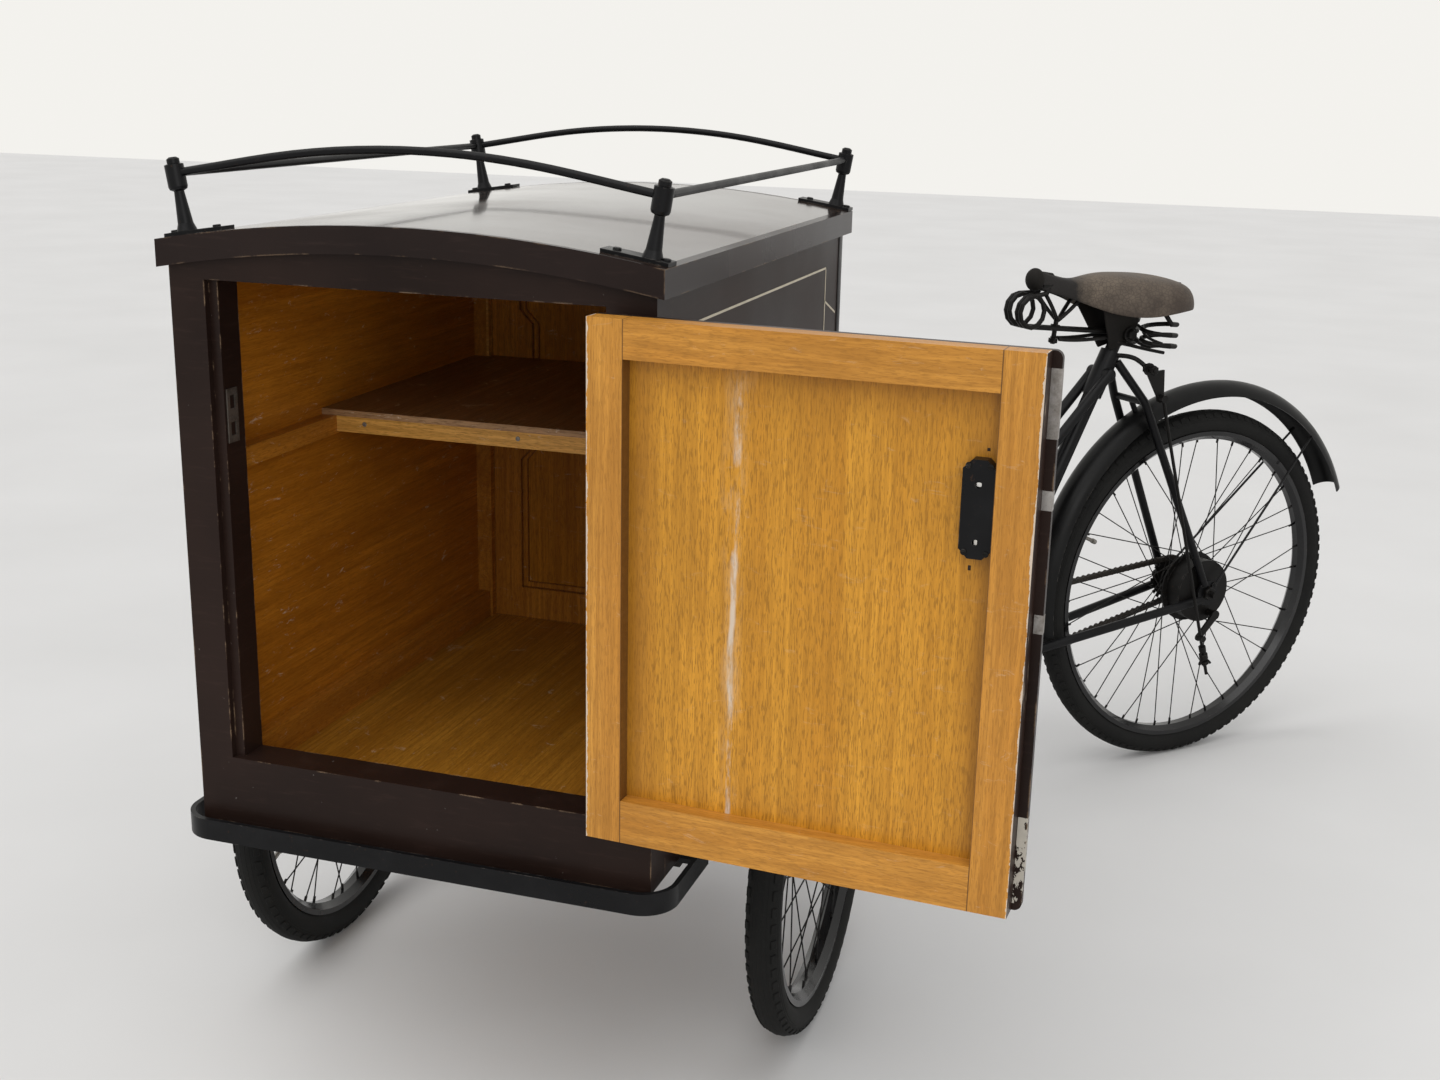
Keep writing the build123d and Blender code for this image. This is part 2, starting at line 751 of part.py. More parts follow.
slope = radians(seat_tube_slope)


def seat_line(height):
    """Place on the seat tube's axis at a height."""
    back = seat_lug_low[0] + (height - seat_lug_low[1]) * cos(slope) / sin(slope)
    return (0, pivot_y + back, height)


bracket_y = seat_line(bracket_height)[1]
bracket_back = bracket_y - pivot_y
wheel_gap = sqrt((hub_back - bracket_back) ** 2 + (hub_z - bracket_height) ** 2)
line_tilt = atan2(hub_z - bracket_height, hub_back - bracket_back)

with BuildPart() as rear_hub:
    with BuildSketch(Plane((0, hub_y, hub_z), x_dir=(1, 0, 0), z_dir=(0, -1, 0))):
        bore = rear_axle_radius + running
        right_at, right_hole, right_thick = rear_flanges[0]
        left_at, left_hole, left_thick = rear_flanges[1]
        with BuildLine():
            Polyline((-chain_line - 2, bore), (-chain_line - 2, 18), (-chain_line + 2, 22),
                     (right_at - right_thick, 22), (right_at - right_thick, right_hole + 5),
                     (right_at + right_thick, right_hole + 5),
                     (right_at + right_thick, 22), (drum_in - 6, 26), (drum_in, drum_radius),
                     (left_at - left_thick, drum_radius), (left_at - left_thick, left_hole + 5),
                     (left_at + left_thick, left_hole + 5), (left_at + left_thick, drum_radius),
                     (drum_out, drum_radius), (drum_out, drum_radius - 5), (drum_in + 6, drum_radius - 5),
                     (drum_in + 6, bore), close=True)
        make_face()
    revolve(axis=Axis((0, hub_y, hub_z), (1, 0, 0)))
    add_toothed_wheel(-chain_line, hub_y, hub_z, sprocket_teeth, line_tilt, 10, 0)
    add_spokes(0, hub_y, hub_z, rear_rim_inner, rear_flanges, 40)
rear_hub.part.label = "rear_hub"

# Chain: two straight runs and an arc round each wheel, its rollers a pitch apart

wrap = asin((ring_radius - sprocket_radius) / wheel_gap)

with BuildPart() as chain:
    top_turn = line_tilt + pi / 2 + wrap
    low_turn = line_tilt - pi / 2 - wrap

    def on_wheel(y, z, radius, turn):
        return (y + radius * cos(turn), z + radius * sin(turn))

    def chain_loop(grow):
        big = ring_radius + grow
        small = sprocket_radius + grow
        ring_top = on_wheel(bracket_y, bracket_height, big, top_turn)
        ring_low = on_wheel(bracket_y, bracket_height, big, low_turn)
        cog_top = on_wheel(hub_y, hub_z, small, top_turn)
        cog_low = on_wheel(hub_y, hub_z, small, low_turn)
        with BuildLine() as loop:
            Line(ring_top, cog_top)
            ThreePointArc(cog_top, on_wheel(hub_y, hub_z, small, line_tilt), cog_low)
            Line(cog_low, ring_low)
            ThreePointArc(ring_low, on_wheel(bracket_y, bracket_height, big, line_tilt + pi), ring_top)
        return loop.edges()

    with BuildSketch(lengthwise(-chain_line - chain_width / 2)):
        make_face(chain_loop(chain_height / 2))
        make_face(chain_loop(-chain_height / 2), mode=Mode.SUBTRACT)
    extrude(amount=chain_width)
    with BuildSketch(lengthwise(-chain_line - chain_slot / 2)):
        make_face(chain_loop(chain_height))
        make_face(chain_loop(-chain_height), mode=Mode.SUBTRACT)
    extrude(amount=chain_slot, mode=Mode.SUBTRACT)
chain.part.label = "chain"

# Crank

crank_turn = radians(20)
spindle_radius = 8.0
ring_phase = line_tilt

with BuildPart() as crank:
    rod((-crank_out - 10, bracket_y, bracket_height),
        (crank_out + 10, bracket_y, bracket_height), spindle_radius)
    for side in (-1, 1):
        turn = crank_turn + (pi if side > 0 else 0)
        end_y = bracket_y + crank_length * cos(turn)
        end_z = bracket_height + crank_length * sin(turn)
        with BuildSketch(lengthwise(side * crank_out - (10 if side < 0 else 0))):
            with Locations((bracket_y, bracket_height)):
                Circle(17)
            with Locations((end_y, end_z)):
                Circle(11)
            with BuildLine():
                ny, nz = -sin(turn), cos(turn)
                Polyline((bracket_y + 12 * ny, bracket_height + 12 * nz), (end_y + 9 * ny, end_z + 9 * nz),
                         (end_y - 9 * ny, end_z - 9 * nz),
                         (bracket_y - 12 * ny, bracket_height - 12 * nz), close=True)
            make_face()
        extrude(amount=10)
        rod((side * (crank_out + 10), end_y, end_z), (side * (pedal_in + pedal_length - 3), end_y, end_z), 5)
    with BuildSketch(lengthwise(-crank_out)):
        with Locations((bracket_y, bracket_height)):
            Circle(24)
    extrude(amount=crank_out - chain_line + tooth_thick / 2)
    add_toothed_wheel(-chain_line, bracket_y, bracket_height, ring_teeth, ring_phase, 20, 5)
crank.part.label = "crank"


def pedal(side):
    turn = crank_turn + (pi if side > 0 else 0)
    y = bracket_y + crank_length * cos(turn)
    z = bracket_height + crank_length * sin(turn)
    inner = side * pedal_in
    outer = side * (pedal_in + pedal_length)
    low_x, high_x = min(inner, outer), max(inner, outer)
    with BuildPart() as block:
        rod((low_x, y, z), (high_x, y, z), 9)
        for end in (-1, 1):
            board((low_x, high_x), (y + end * 30 - 11, y + end * 30 + 11), (z - 11, z + 11))
        for x in (low_x, high_x - 4):
            board((x, x + 4), (y - 41, y + 41), (z - 6, z + 6))
        with BuildSketch(lengthwise(low_x - 1)):
            with Locations((y, z)):
                Circle(5 + running)
        extrude(amount=high_x - low_x + 2, mode=Mode.SUBTRACT)
    block.part.label = "pedal_left" if side > 0 else "pedal_right"
    return block.part


pedals = [pedal(1), pedal(-1)]

# Cycle frame

coil_pitch = 9.5
leather_low = saddle_top - 15
wire = 4.0
plate_out = drum_out + 5
bell_radius = 5.0
lug_top = seat_lug_low[1] + seat_lug_length * sin(slope)
lug_middle = seat_lug_low[1] + seat_lug_length * sin(slope) / 2
bracket_shell = 20.0
bracket_half = 34.0

stay_shoulder = 42.0
bridge = (938.0, 703.0)     # between the seat stays, (distance behind the pivot, height)
dropout_plate = 5.0
dropout_radius = 24.0
nut_out = 11.0              # outer face of an axle nut past the drop-out's middle
nut_radius = 11.0
guard_run = (guard_centre[0] - bridge[0], guard_centre[1] - bridge[1])
bridge_reach = 1 - guard_radius / sqrt(guard_run[0] ** 2 + guard_run[1] ** 2)
bridge_foot = (pivot_y + bridge[0] + guard_run[0] * bridge_reach, bridge[1] + guard_run[1] * bridge_reach)

with BuildPart() as main_frame:
    # head tube round the king pin
    rod((0, pivot_y, head_low), (0, pivot_y, head_high), head_radius)
    # bottom bracket shell
    rod((-bracket_half, bracket_y, bracket_height), (bracket_half, bracket_y, bracket_height), bracket_shell)
    # lower tube, seat tube and seat lug
    rod((0, pivot_y, head_low + 26), (0, bracket_y, bracket_height), tube_radius)
    rod((0, bracket_y, bracket_height), seat_line(lug_top), tube_radius)
    rod(seat_line(seat_lug_low[1]), seat_line(lug_top), tube_radius + 4)
    # twin tubes, from the seat lug down and forward to the head
    for side in (-1, 1):
        bent_rod([(side * twin_half, seat_line(lug_middle)[1] + 4, lug_middle + 6),
                  (side * twin_half, pivot_y + 640, 520),
                  (side * twin_half / 2, pivot_y, head_high - 34)], twin_radius, 150)
        rod((0, seat_line(lug_middle)[1], lug_middle),
            (side * (twin_half + 4), seat_line(lug_middle)[1], lug_middle), 12)
    # seat stays, chain stays and drop-outs
    for side in (-1, 1):
        bent_rod([(side * 12, pivot_y + 888, 775),
                  (side * stay_shoulder, pivot_y + bridge[0] - 3, bridge[1]),
                  (side * dropout_half, hub_y - 8, hub_z + 15)], stay_radius, 60)
        rod((side * 27, bracket_y + 18, bracket_height - 10),
            (side * dropout_half, hub_y - 15, hub_z - 13), 8)
        with BuildSketch(lengthwise(side * dropout_half - dropout_plate / 2)):
            with Locations((hub_y, hub_z)):
                Circle(dropout_radius)
        extrude(amount=dropout_plate)
    # bridge between the seat stays, and the lug that holds the mudguard to it
    bridge_y = pivot_y + bridge[0]
    rod((-stay_shoulder, bridge_y, bridge[1]), (stay_shoulder, bridge_y, bridge[1]), 6)
    rod((0, bridge_y, bridge[1]), (0, *bridge_foot), 5)
    # bores for the rear axle, the king pin and the spindle
    with BuildSketch(lengthwise(-dropout_half - 10)):
        with Locations((hub_y, hub_z)):
            Circle(rear_axle_radius)
    extrude(amount=2 * dropout_half + 20, mode=Mode.SUBTRACT)
    with BuildSketch(Plane.XY.offset(head_low - 60)):
        with Locations((0, pivot_y)):
            Circle(pin_king + running)
    extrude(amount=head_high - head_low + 120, mode=Mode.SUBTRACT)
    with BuildSketch(lengthwise(-bracket_half - 10)):
        with Locations((bracket_y, bracket_height)):
            Circle(spindle_radius + running)
    extrude(amount=2 * bracket_half + 20, mode=Mode.SUBTRACT)
main_frame.part.label = "cycle_frame"

with BuildPart() as rear_axle:
    axle_end = dropout_half + nut_out + axle_past_nut
    rod((-axle_end, hub_y, hub_z), (axle_end, hub_y, hub_z), rear_axle_radius)
    for inner, outer, radius in (
        (dropout_half + dropout_plate / 2, dropout_half + nut_out, nut_radius),
        (-dropout_half - dropout_plate / 2, -dropout_half - nut_out, nut_radius),
        (plate_out, dropout_half - dropout_plate / 2, 10),
        (-chain_line - 2 - side_play, -dropout_half + dropout_plate / 2, 10),
    ):
        rod((inner, hub_y, hub_z), (outer, hub_y, hub_z), radius)
rear_axle.part.label = "rear_axle"

# Brake: back plate, its arm, and the rod up to a bell crank beside the seat lug

cam = (hub_y + 18, hub_z - 44)
arm_end = (pivot_y + 1092, 252)
bell_pin = (pivot_y + 915, 769)
bell_out = (pivot_y + 946, 716)
brake_rod_x = 74.0
with BuildPart() as brake_plate:
    with BuildSketch(lengthwise(drum_out + 1)):
        with Locations((hub_y, hub_z)):
            Circle(drum_radius + 1)
            Circle(rear_axle_radius, mode=Mode.SUBTRACT)
    extrude(amount=plate_out - drum_out - 1)
    rod((plate_out, *cam), (brake_rod_x - 5, *cam), 7)
    with BuildSketch(lengthwise(brake_rod_x - 8)):
        with Locations(cam):
            Circle(9)
        with Locations(arm_end):
            Circle(7)
        with BuildLine():
            Polyline((cam[0] - 5, cam[1] + 6), (cam[0] + 5, cam[1] - 6), (arm_end[0] + 4, arm_end[1] - 5),
                     (arm_end[0] - 4, arm_end[1] + 5), close=True)
        make_face()
    extrude(amount=4)
    rod((brake_rod_x - 8, *arm_end), (brake_rod_x + 8, *arm_end), 6)
    rod_run = Vector(0, arm_end[0] - bell_out[0], arm_end[1] - bell_out[1]).normalized()
    end = Vector(brake_rod_x, *arm_end)
    cut = end - rod_run * 20
    with BuildSketch(Plane(cut, z_dir=rod_run)):
        Circle(3.3)
    extrude(amount=40, mode=Mode.SUBTRACT)
brake_plate.part.label = "brake_plate"

with BuildPart() as brake_rod:
    top = Vector(brake_rod_x, *bell_out)
    rod(top, end + rod_run * 78, 3)
    rod(end + rod_run * 34, end + rod_run * 44, 8)
    rod((brake_rod_x - 6, *bell_out), (brake_rod_x + 5, *bell_out), 7)
    # bell crank, turning on the pin beside the seat lug
    with BuildSketch(lengthwise(brake_rod_x - 10)):
        with Locations(bell_pin):
            Circle(11)
        with Locations(bell_out):
            Circle(8)
        with BuildLine():
            Polyline((bell_pin[0] - 6, bell_pin[1] - 5), (bell_pin[0] + 34, bell_pin[1] - 3),
                     (bell_out[0] + 7, bell_out[1]), (bell_out[0] - 7, bell_out[1]), close=True)
        make_face()
    extrude(amount=4)
    with BuildSketch(lengthwise(brake_rod_x - 20)):
        with Locations(bell_pin):
            Circle(bell_radius + running)
    extrude(amount=40, mode=Mode.SUBTRACT)
brake_rod.part.label = "brake_rod"

# Saddle on a post: two coils under the nose, lying on their sides, and two upright ones at the back

clamp_z = lug_top + 34
coil_steps = 12             # straight pieces to each turn of wire
nose_coil = (690.0, 873.0)  # axis, (distance behind the pivot, height)
nose_coil_radius = 27.0
nose_plate = (14.0, 714.0, 744.0)
tail_coil = (50.0, 944.0)   # axis, (from the middle, distance behind the pivot)
tail_coil_radius = 30.0
tail_coil_low = 800.0
tail_coil_pitch = 19.0
tail_plate = (60.0, 905.0, 975.0)
plate_low = leather_low - seat_gap - 4
wire_top = plate_low + 2


def wire_run(points):
    """A wire bent along a run of points."""
    with BuildLine() as path:
        Polyline(*points)
    with BuildSketch(Plane(path.line @ 0, z_dir=path.line % 0)) as section:
        Circle(wire)
    sweep(section.sketch, path=path.line, transition=Transition.RIGHT)


with BuildPart() as saddle_frame:
    rod(seat_line(lug_top), seat_line(clamp_z - 8), 12)
    clamp_y = seat_line(clamp_z)[1]
    rod((-30, clamp_y, clamp_z), (30, clamp_y, clamp_z), 13)
    # plates under the leather at the nose and the back
    for reach, plate_front, plate_back in (nose_plate, tail_plate):
        board((-reach, reach), (pivot_y + plate_front, pivot_y + plate_back), (plate_low, plate_low + 4))
    for side in (-1, 1):
        # nose wire: forward from the clamp, one and a half turns, then up into its plate
        points = [(side * 8, clamp_y, clamp_z)]
        for k in range(int(1.5 * coil_steps) + 1):
            turn = 2 * pi * k / coil_steps
            points.append((side * (8 + coil_pitch * k / coil_steps),
                           pivot_y + nose_coil[0] - nose_coil_radius * sin(turn),
                           nose_coil[1] - nose_coil_radius * cos(turn)))
        points.append((side * 12, pivot_y + 722, nose_coil[1] + nose_coil_radius + 2))
        points.append((side * 9, pivot_y + 731, wire_top))
        wire_run(points)
        # tail wire: back from the clamp, two and a half turns, then up into its plate
        points = [(side * 14, clamp_y, clamp_z)]
        for k in range(int(2.5 * coil_steps) + 1):
            turn = 2 * pi * k / coil_steps
            points.append((side * (tail_coil[0] - tail_coil_radius * cos(turn)),
                           pivot_y + tail_coil[1] + tail_coil_radius * sin(turn),
                           tail_coil_low + tail_coil_pitch * k / coil_steps))
        points.append((side * 64, pivot_y + 924, wire_top - 30))
        points.append((side * 54, pivot_y + 922, wire_top))
        wire_run(points)
saddle_frame.part.label = "saddle_frame"

with BuildPart() as saddle:
    nose = pivot_y + saddle_nose
    tail = pivot_y + saddle_back
    with BuildSketch(Plane.XY.offset(saddle_top - 80)):
        with BuildLine():
            ThreePointArc((-20, nose + 14), (0, nose), (20, nose + 14))
            Line((20, nose + 14), (34, nose + 110))
            ThreePointArc((34, nose + 110), (52, nose + 170), (saddle_half - 8, nose + 225))
            ThreePointArc((saddle_half - 8, nose + 225), (saddle_half, nose + 270), (70, tail - 6))
            ThreePointArc((70, tail - 6), (0, tail), (-70, tail - 6))
            ThreePointArc((-70, tail - 6), (-saddle_half, nose + 270), (-saddle_half + 8, nose + 225))
            ThreePointArc((-saddle_half + 8, nose + 225), (-52, nose + 170), (-34, nose + 110))
            Line((-34, nose + 110), (-20, nose + 14))
        make_face()
    extrude(amount=100)
    with BuildSketch(lengthwise(-saddle_half - 10)):
        with BuildLine():
            Spline((nose - 5, saddle_top + 10), (nose + 100, saddle_top - 2), (nose + 200, saddle_top),
                   (tail + 5, saddle_top - 8))
            Polyline((tail + 5, saddle_top - 8), (tail + 5, saddle_top - 62), (nose + 190, saddle_top - 66),
                     (nose + 90, saddle_top - 50), (nose + 45, saddle_top - 24), (nose - 5, saddle_top - 22),
                     (nose - 5, saddle_top + 10))
        make_face()
    extrude(amount=2 * saddle_half + 20, mode=Mode.INTERSECT)
    # hollow under the leather, round the springs
    with BuildSketch(Plane.XY.offset(saddle_top - 90)):
        with BuildLine():
            ThreePointArc((-16, nose + 18), (0, nose + 5), (16, nose + 18))
            Line((16, nose + 18), (29, nose + 110))
            ThreePointArc((29, nose + 110), (47, nose + 170), (saddle_half - 13, nose + 225))
            ThreePointArc((saddle_half - 13, nose + 225), (saddle_half - 5, nose + 270), (66, tail - 10))
            ThreePointArc((66, tail - 10), (0, tail - 5), (-66, tail - 10))
            ThreePointArc((-66, tail - 10), (-saddle_half + 5, nose + 270), (-saddle_half + 13, nose + 225))
            ThreePointArc((-saddle_half + 13, nose + 225), (-47, nose + 170), (-29, nose + 110))
            Line((-29, nose + 110), (-16, nose + 18))
        make_face()
    extrude(amount=90 - saddle_top + leather_low, mode=Mode.SUBTRACT)
saddle.part.label = "saddle"

with BuildPart() as mudguard:
    centre = (0, pivot_y + guard_centre[0], guard_centre[1])
    start_turn = radians(guard_to)
    with BuildSketch(Plane(centre, x_dir=(1, 0, 0), z_dir=(0, -sin(start_turn), cos(start_turn)))):
        edge = guard_radius - guard_fall
        with BuildLine():
            ThreePointArc((-guard_half, edge), (0, guard_radius), (guard_half, edge))
            Line((guard_half, edge), (guard_half - guard_sheet, edge))
            ThreePointArc((guard_half - guard_sheet, edge), (0, guard_radius - guard_sheet),
                          (-guard_half + guard_sheet, edge))
            Line((-guard_half + guard_sheet, edge), (-guard_half, edge))
        make_face()
    revolve(axis=Axis(centre, (1, 0, 0)), revolution_arc=180 - guard_from - guard_to)
    # a wire stay on each side, from an eye beside the axle nut
    stay_turn = radians(guard_stay_turn)
    eye_back = (dropout_radius + nut_radius) / 2
    eye_at = (hub_y + eye_back * cos(stay_turn), hub_z + eye_back * sin(stay_turn))
    stay_reach = guard_radius - 16
    for side in (-1, 1):
        eye_x = side * (dropout_half + dropout_plate / 2 + seat_gap)
        with BuildSketch(lengthwise(eye_x - (guard_stay if side < 0 else 0))):
            with Locations(eye_at):
                Circle(6)
        extrude(amount=guard_stay)
        rod((eye_x + side * guard_stay, *eye_at),
            (side * (guard_half - 6), centre[1] + stay_reach * cos(stay_turn),
             centre[2] + stay_reach * sin(stay_turn)),
            guard_stay)
mudguard.part.label = "mudguard"

# Where each body stands

door_turn = Location((pin_x, -pin_forward, 0), (0, 0, door_open)) * Location((-pin_x, pin_forward, 0))
steer_turn = Location((0, pivot_y, 0), (0, 0, -steer_angle)) * Location((0, -pivot_y, 0))

carriage = [front_frame.part, side_left, side_right, back_board.part, floor_board.part, roof.part,
            fascia.part, back_frame.part, inner_battens.part, shelf.part, lock_keep.part, hinges_fixed,
            guard_rail.part,
            chassis.part, front_axle.part, springs.part, head_brackets.part, handlebar.part, grips.part,
            roof_rack.part, *front_left, *front_right]
door = [door_skin.part, door_frame.part, door_panel.part, lock_case.part, hinges_door]
cycle = [main_frame.part, rear_axle.part, brake_plate.part, brake_rod.part, saddle_frame.part, saddle.part,
         mudguard.part, chain.part, crank.part, *pedals, rear_tyre_piece, rear_rim_piece, rear_hub.part]

placed = [(piece, Location((0, 0, 0))) for piece in carriage]
placed += [(piece, door_turn) for piece in door]
placed += [(piece, steer_turn) for piece in cycle]
boxes = [piece.moved(where).bounding_box() for piece, where in placed]
middle_x = (min(b.min.X for b in boxes) + max(b.max.X for b in boxes)) / 2
middle_y = (min(b.min.Y for b in boxes) + max(b.max.Y for b in boxes)) / 2
centred = Location((-middle_x, -middle_y, 0))
print("middle of the plan", round(middle_x, 4), round(middle_y, 4))

for piece, where in placed:
    stood = piece.moved(centred * where)
    stood.label = piece.label
    export_step(stood, f"parts/{piece.label}.step")
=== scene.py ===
import math

import bpy
from mathutils import Matrix, Vector


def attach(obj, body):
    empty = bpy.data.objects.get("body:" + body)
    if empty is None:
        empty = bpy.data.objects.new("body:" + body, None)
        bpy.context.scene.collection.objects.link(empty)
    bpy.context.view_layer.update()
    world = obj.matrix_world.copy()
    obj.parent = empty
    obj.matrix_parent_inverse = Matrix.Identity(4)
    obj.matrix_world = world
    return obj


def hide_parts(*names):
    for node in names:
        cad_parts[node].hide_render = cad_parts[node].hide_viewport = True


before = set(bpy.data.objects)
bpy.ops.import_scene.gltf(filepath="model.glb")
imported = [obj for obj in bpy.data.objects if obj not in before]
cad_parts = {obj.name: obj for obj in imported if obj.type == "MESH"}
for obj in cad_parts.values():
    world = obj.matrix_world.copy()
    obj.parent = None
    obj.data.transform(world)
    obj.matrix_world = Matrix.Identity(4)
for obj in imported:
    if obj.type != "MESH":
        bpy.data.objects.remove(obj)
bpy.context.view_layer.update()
print("stage: frame loaded")

# the CAD was drawn in millimetres from the middle of the box's front face
planShift = Vector((-0.3164105, -0.8901087, 0))
steerAngle = math.radians(44.5)
pivotBehind = 0.802
doorAngle = math.radians(176.4)
doorPin = (0.232, -0.012)
# places in metres: the box's walls from its middle and front, and the axles
box = {"half": 0.2875, "sideInside": 0.2758, "backInside": 0.7545, "rearFace": 0.772}
rearHub = {"behind": 1.110, "up": 0.335}
frontHub = {"aside": 0.3625, "back": 0.433, "up": 0.254, "nut": 0.4065}
upWay = Vector((0, 0, 1))


def boxPoint(x, y, z):
    return Vector((x, y, z)) + planShift


def cyclePoint(aside, back, z):
    x = back * math.sin(steerAngle) + aside * math.cos(steerAngle)
    y = pivotBehind + back * math.cos(steerAngle) - aside * math.sin(steerAngle)
    return boxPoint(x, y, z)


def doorPoint(x, y, z):
    dx, dy = x - doorPin[0], y - doorPin[1]
    turnedX = dx * math.cos(doorAngle) - dy * math.sin(doorAngle)
    turnedY = dx * math.sin(doorAngle) + dy * math.cos(doorAngle)
    return boxPoint(doorPin[0] + turnedX, doorPin[1] + turnedY, z)


def newMaterial(name):
    material = bpy.data.materials.new(name)
    material.use_nodes = True
    tree = material.node_tree
    tree.nodes.remove(tree.nodes["Principled BSDF"])
    return {"material": material, "nodes": tree.nodes, "links": tree.links,
            "output": tree.nodes["Material Output"]}


def addNode(m, kind, **settings):
    node = m["nodes"].new(kind)
    for key, value in settings.items():
        setattr(node, key, value)
    return node


def place(m, scale=(1, 1, 1), rotation=(0, 0, 0), shift=(0, 0, 0)):
    coords = addNode(m, "ShaderNodeTexCoord")
    mapping = addNode(m, "ShaderNodeMapping")
    mapping.inputs["Scale"].default_value = scale
    mapping.inputs["Rotation"].default_value = rotation
    mapping.inputs["Location"].default_value = shift
    m["links"].new(coords.outputs["Object"], mapping.inputs["Vector"])
    return mapping.outputs["Vector"]


def noise(m, vector, scale, detail=5, roughness=0.6, distortion=0):
    node = addNode(m, "ShaderNodeTexNoise")
    node.inputs["Scale"].default_value = scale
    node.inputs["Detail"].default_value = detail
    node.inputs["Roughness"].default_value = roughness
    node.inputs["Distortion"].default_value = distortion
    m["links"].new(vector, node.inputs["Vector"])
    return node.outputs["Fac"]


def grey(m, value, low, high, bottom=0.0, top=1.0):
    node = addNode(m, "ShaderNodeMapRange")
    node.inputs["From Min"].default_value = low
    node.inputs["From Max"].default_value = high
    node.inputs["To Min"].default_value = bottom
    node.inputs["To Max"].default_value = top
    m["links"].new(value, node.inputs["Value"])
    return node.outputs["Result"]


def maths(m, operation, first, second):
    node = addNode(m, "ShaderNodeMath", operation=operation)
    for socket, value in ((node.inputs[0], first), (node.inputs[1], second)):
        if isinstance(value, (int, float)):
            socket.default_value = value
        else:
            m["links"].new(value, socket)
    return node.outputs["Value"]


def blend(m, amount, first, second, kind="MIX"):
    node = addNode(m, "ShaderNodeMix", data_type="RGBA", blend_type=kind)
    if isinstance(amount, (int, float)):
        node.inputs["Factor"].default_value = amount
    else:
        m["links"].new(amount, node.inputs["Factor"])
    for socket, value in ((node.inputs["A"], first), (node.inputs["B"], second)):
        if isinstance(value, tuple):
            socket.default_value = (*value, 1)
        else:
            m["links"].new(value, socket)
    return node.outputs["Result"]


def bump(m, height, strength, distance=0.001):
    node = addNode(m, "ShaderNodeBump")
    node.inputs["Strength"].default_value = strength
    node.inputs["Distance"].default_value = distance
    m["links"].new(height, node.inputs["Height"])
    return node.outputs["Normal"]


# how near a sharp edge a point is, from the difference a rounded normal makes
def edges(m, radius, low=0.02, high=0.2):
    rounded = addNode(m, "ShaderNodeBevel", samples=4)
    rounded.inputs["Radius"].default_value = radius
    flat = addNode(m, "ShaderNodeNewGeometry")
    dot = addNode(m, "ShaderNodeVectorMath", operation="DOT_PRODUCT")
    m["links"].new(rounded.outputs["Normal"], dot.inputs[0])
    m["links"].new(flat.outputs["Normal"], dot.inputs[1])
    return grey(m, dot.outputs["Value"], 1 - low, 1 - high, 0, 1)


def axisValue(m, axis):
    coords = addNode(m, "ShaderNodeTexCoord")
    split = addNode(m, "ShaderNodeSeparateXYZ")
    m["links"].new(coords.outputs["Object"], split.inputs["Vector"])
    return split.outputs[axis]


def finishWith(m, colour, roughness, normal=None, metallic=0.0, coat=0.0, coatRoughness=0.1, level=0.35):
    shader = addNode(m, "ShaderNodeBsdfPrincipled")
    if isinstance(colour, tuple):
        shader.inputs["Base Color"].default_value = (*colour, 1)
    else:
        m["links"].new(colour, shader.inputs["Base Color"])
    if isinstance(roughness, (int, float)):
        shader.inputs["Roughness"].default_value = roughness
    else:
        m["links"].new(roughness, shader.inputs["Roughness"])
    shader.inputs["Metallic"].default_value = metallic
    shader.inputs["Specular IOR Level"].default_value = level
    shader.inputs["Coat Weight"].default_value = coat
    shader.inputs["Coat Roughness"].default_value = coatRoughness
    if normal:
        m["links"].new(normal, shader.inputs["Normal"])
    m["links"].new(shader.outputs["BSDF"], m["output"].inputs["Surface"])
    return shader.outputs["BSDF"]


# two finishes on one board: inside wherever the value is 1
def twoFaced(m, where, outside, inside):
    node = addNode(m, "ShaderNodeMixShader")
    m["links"].new(where, node.inputs["Fac"])
    m["links"].new(outside, node.inputs[1])
    m["links"].new(inside, node.inputs[2])
    m["links"].new(node.outputs["Shader"], m["output"].inputs["Surface"])


def shade(colour, share):
    return tuple(c * share for c in colour)


# old dark coach paint: brush marks, dust, and pale chips along the edges
def paintedWood(m, tint, sheen, chips, coat=0.0, level=0.13):
    speckTint, woodTint = (0.45, 0.42, 0.38), (0.3, 0.2, 0.12)
    streaks = noise(m, place(m, (6, 6, 60)), 3, 6, 0.65)
    patches = noise(m, place(m), 4, 4, 0.5)
    colour = blend(m, grey(m, patches, 0.35, 0.7), shade(tint, 0.55), tint)
    dust = tuple(c * 2.2 + 0.004 for c in tint)
    colour = blend(m, grey(m, streaks, 0.55, 0.8, 0, 0.35), colour, dust)
    speck = noise(m, place(m), 130, 3, 0.7)
    spots = grey(m, speck, 0.74, 0.76)
    colour = blend(m, maths(m, "MULTIPLY", spots, 0.35), colour, speckTint)
    worn = maths(m, "MULTIPLY", edges(m, 0.003), grey(m, noise(m, place(m), 26, 5, 0.7), 0.52, 0.62))
    colour = blend(m, maths(m, "MULTIPLY", worn, chips), colour, woodTint)
    rough = grey(m, patches, 0.3, 0.7, sheen, sheen + 0.16)
    return finishWith(m, colour, rough, bump(m, streaks, 0.12), coat=coat, coatRoughness=sheen * 0.7,
                      level=level)


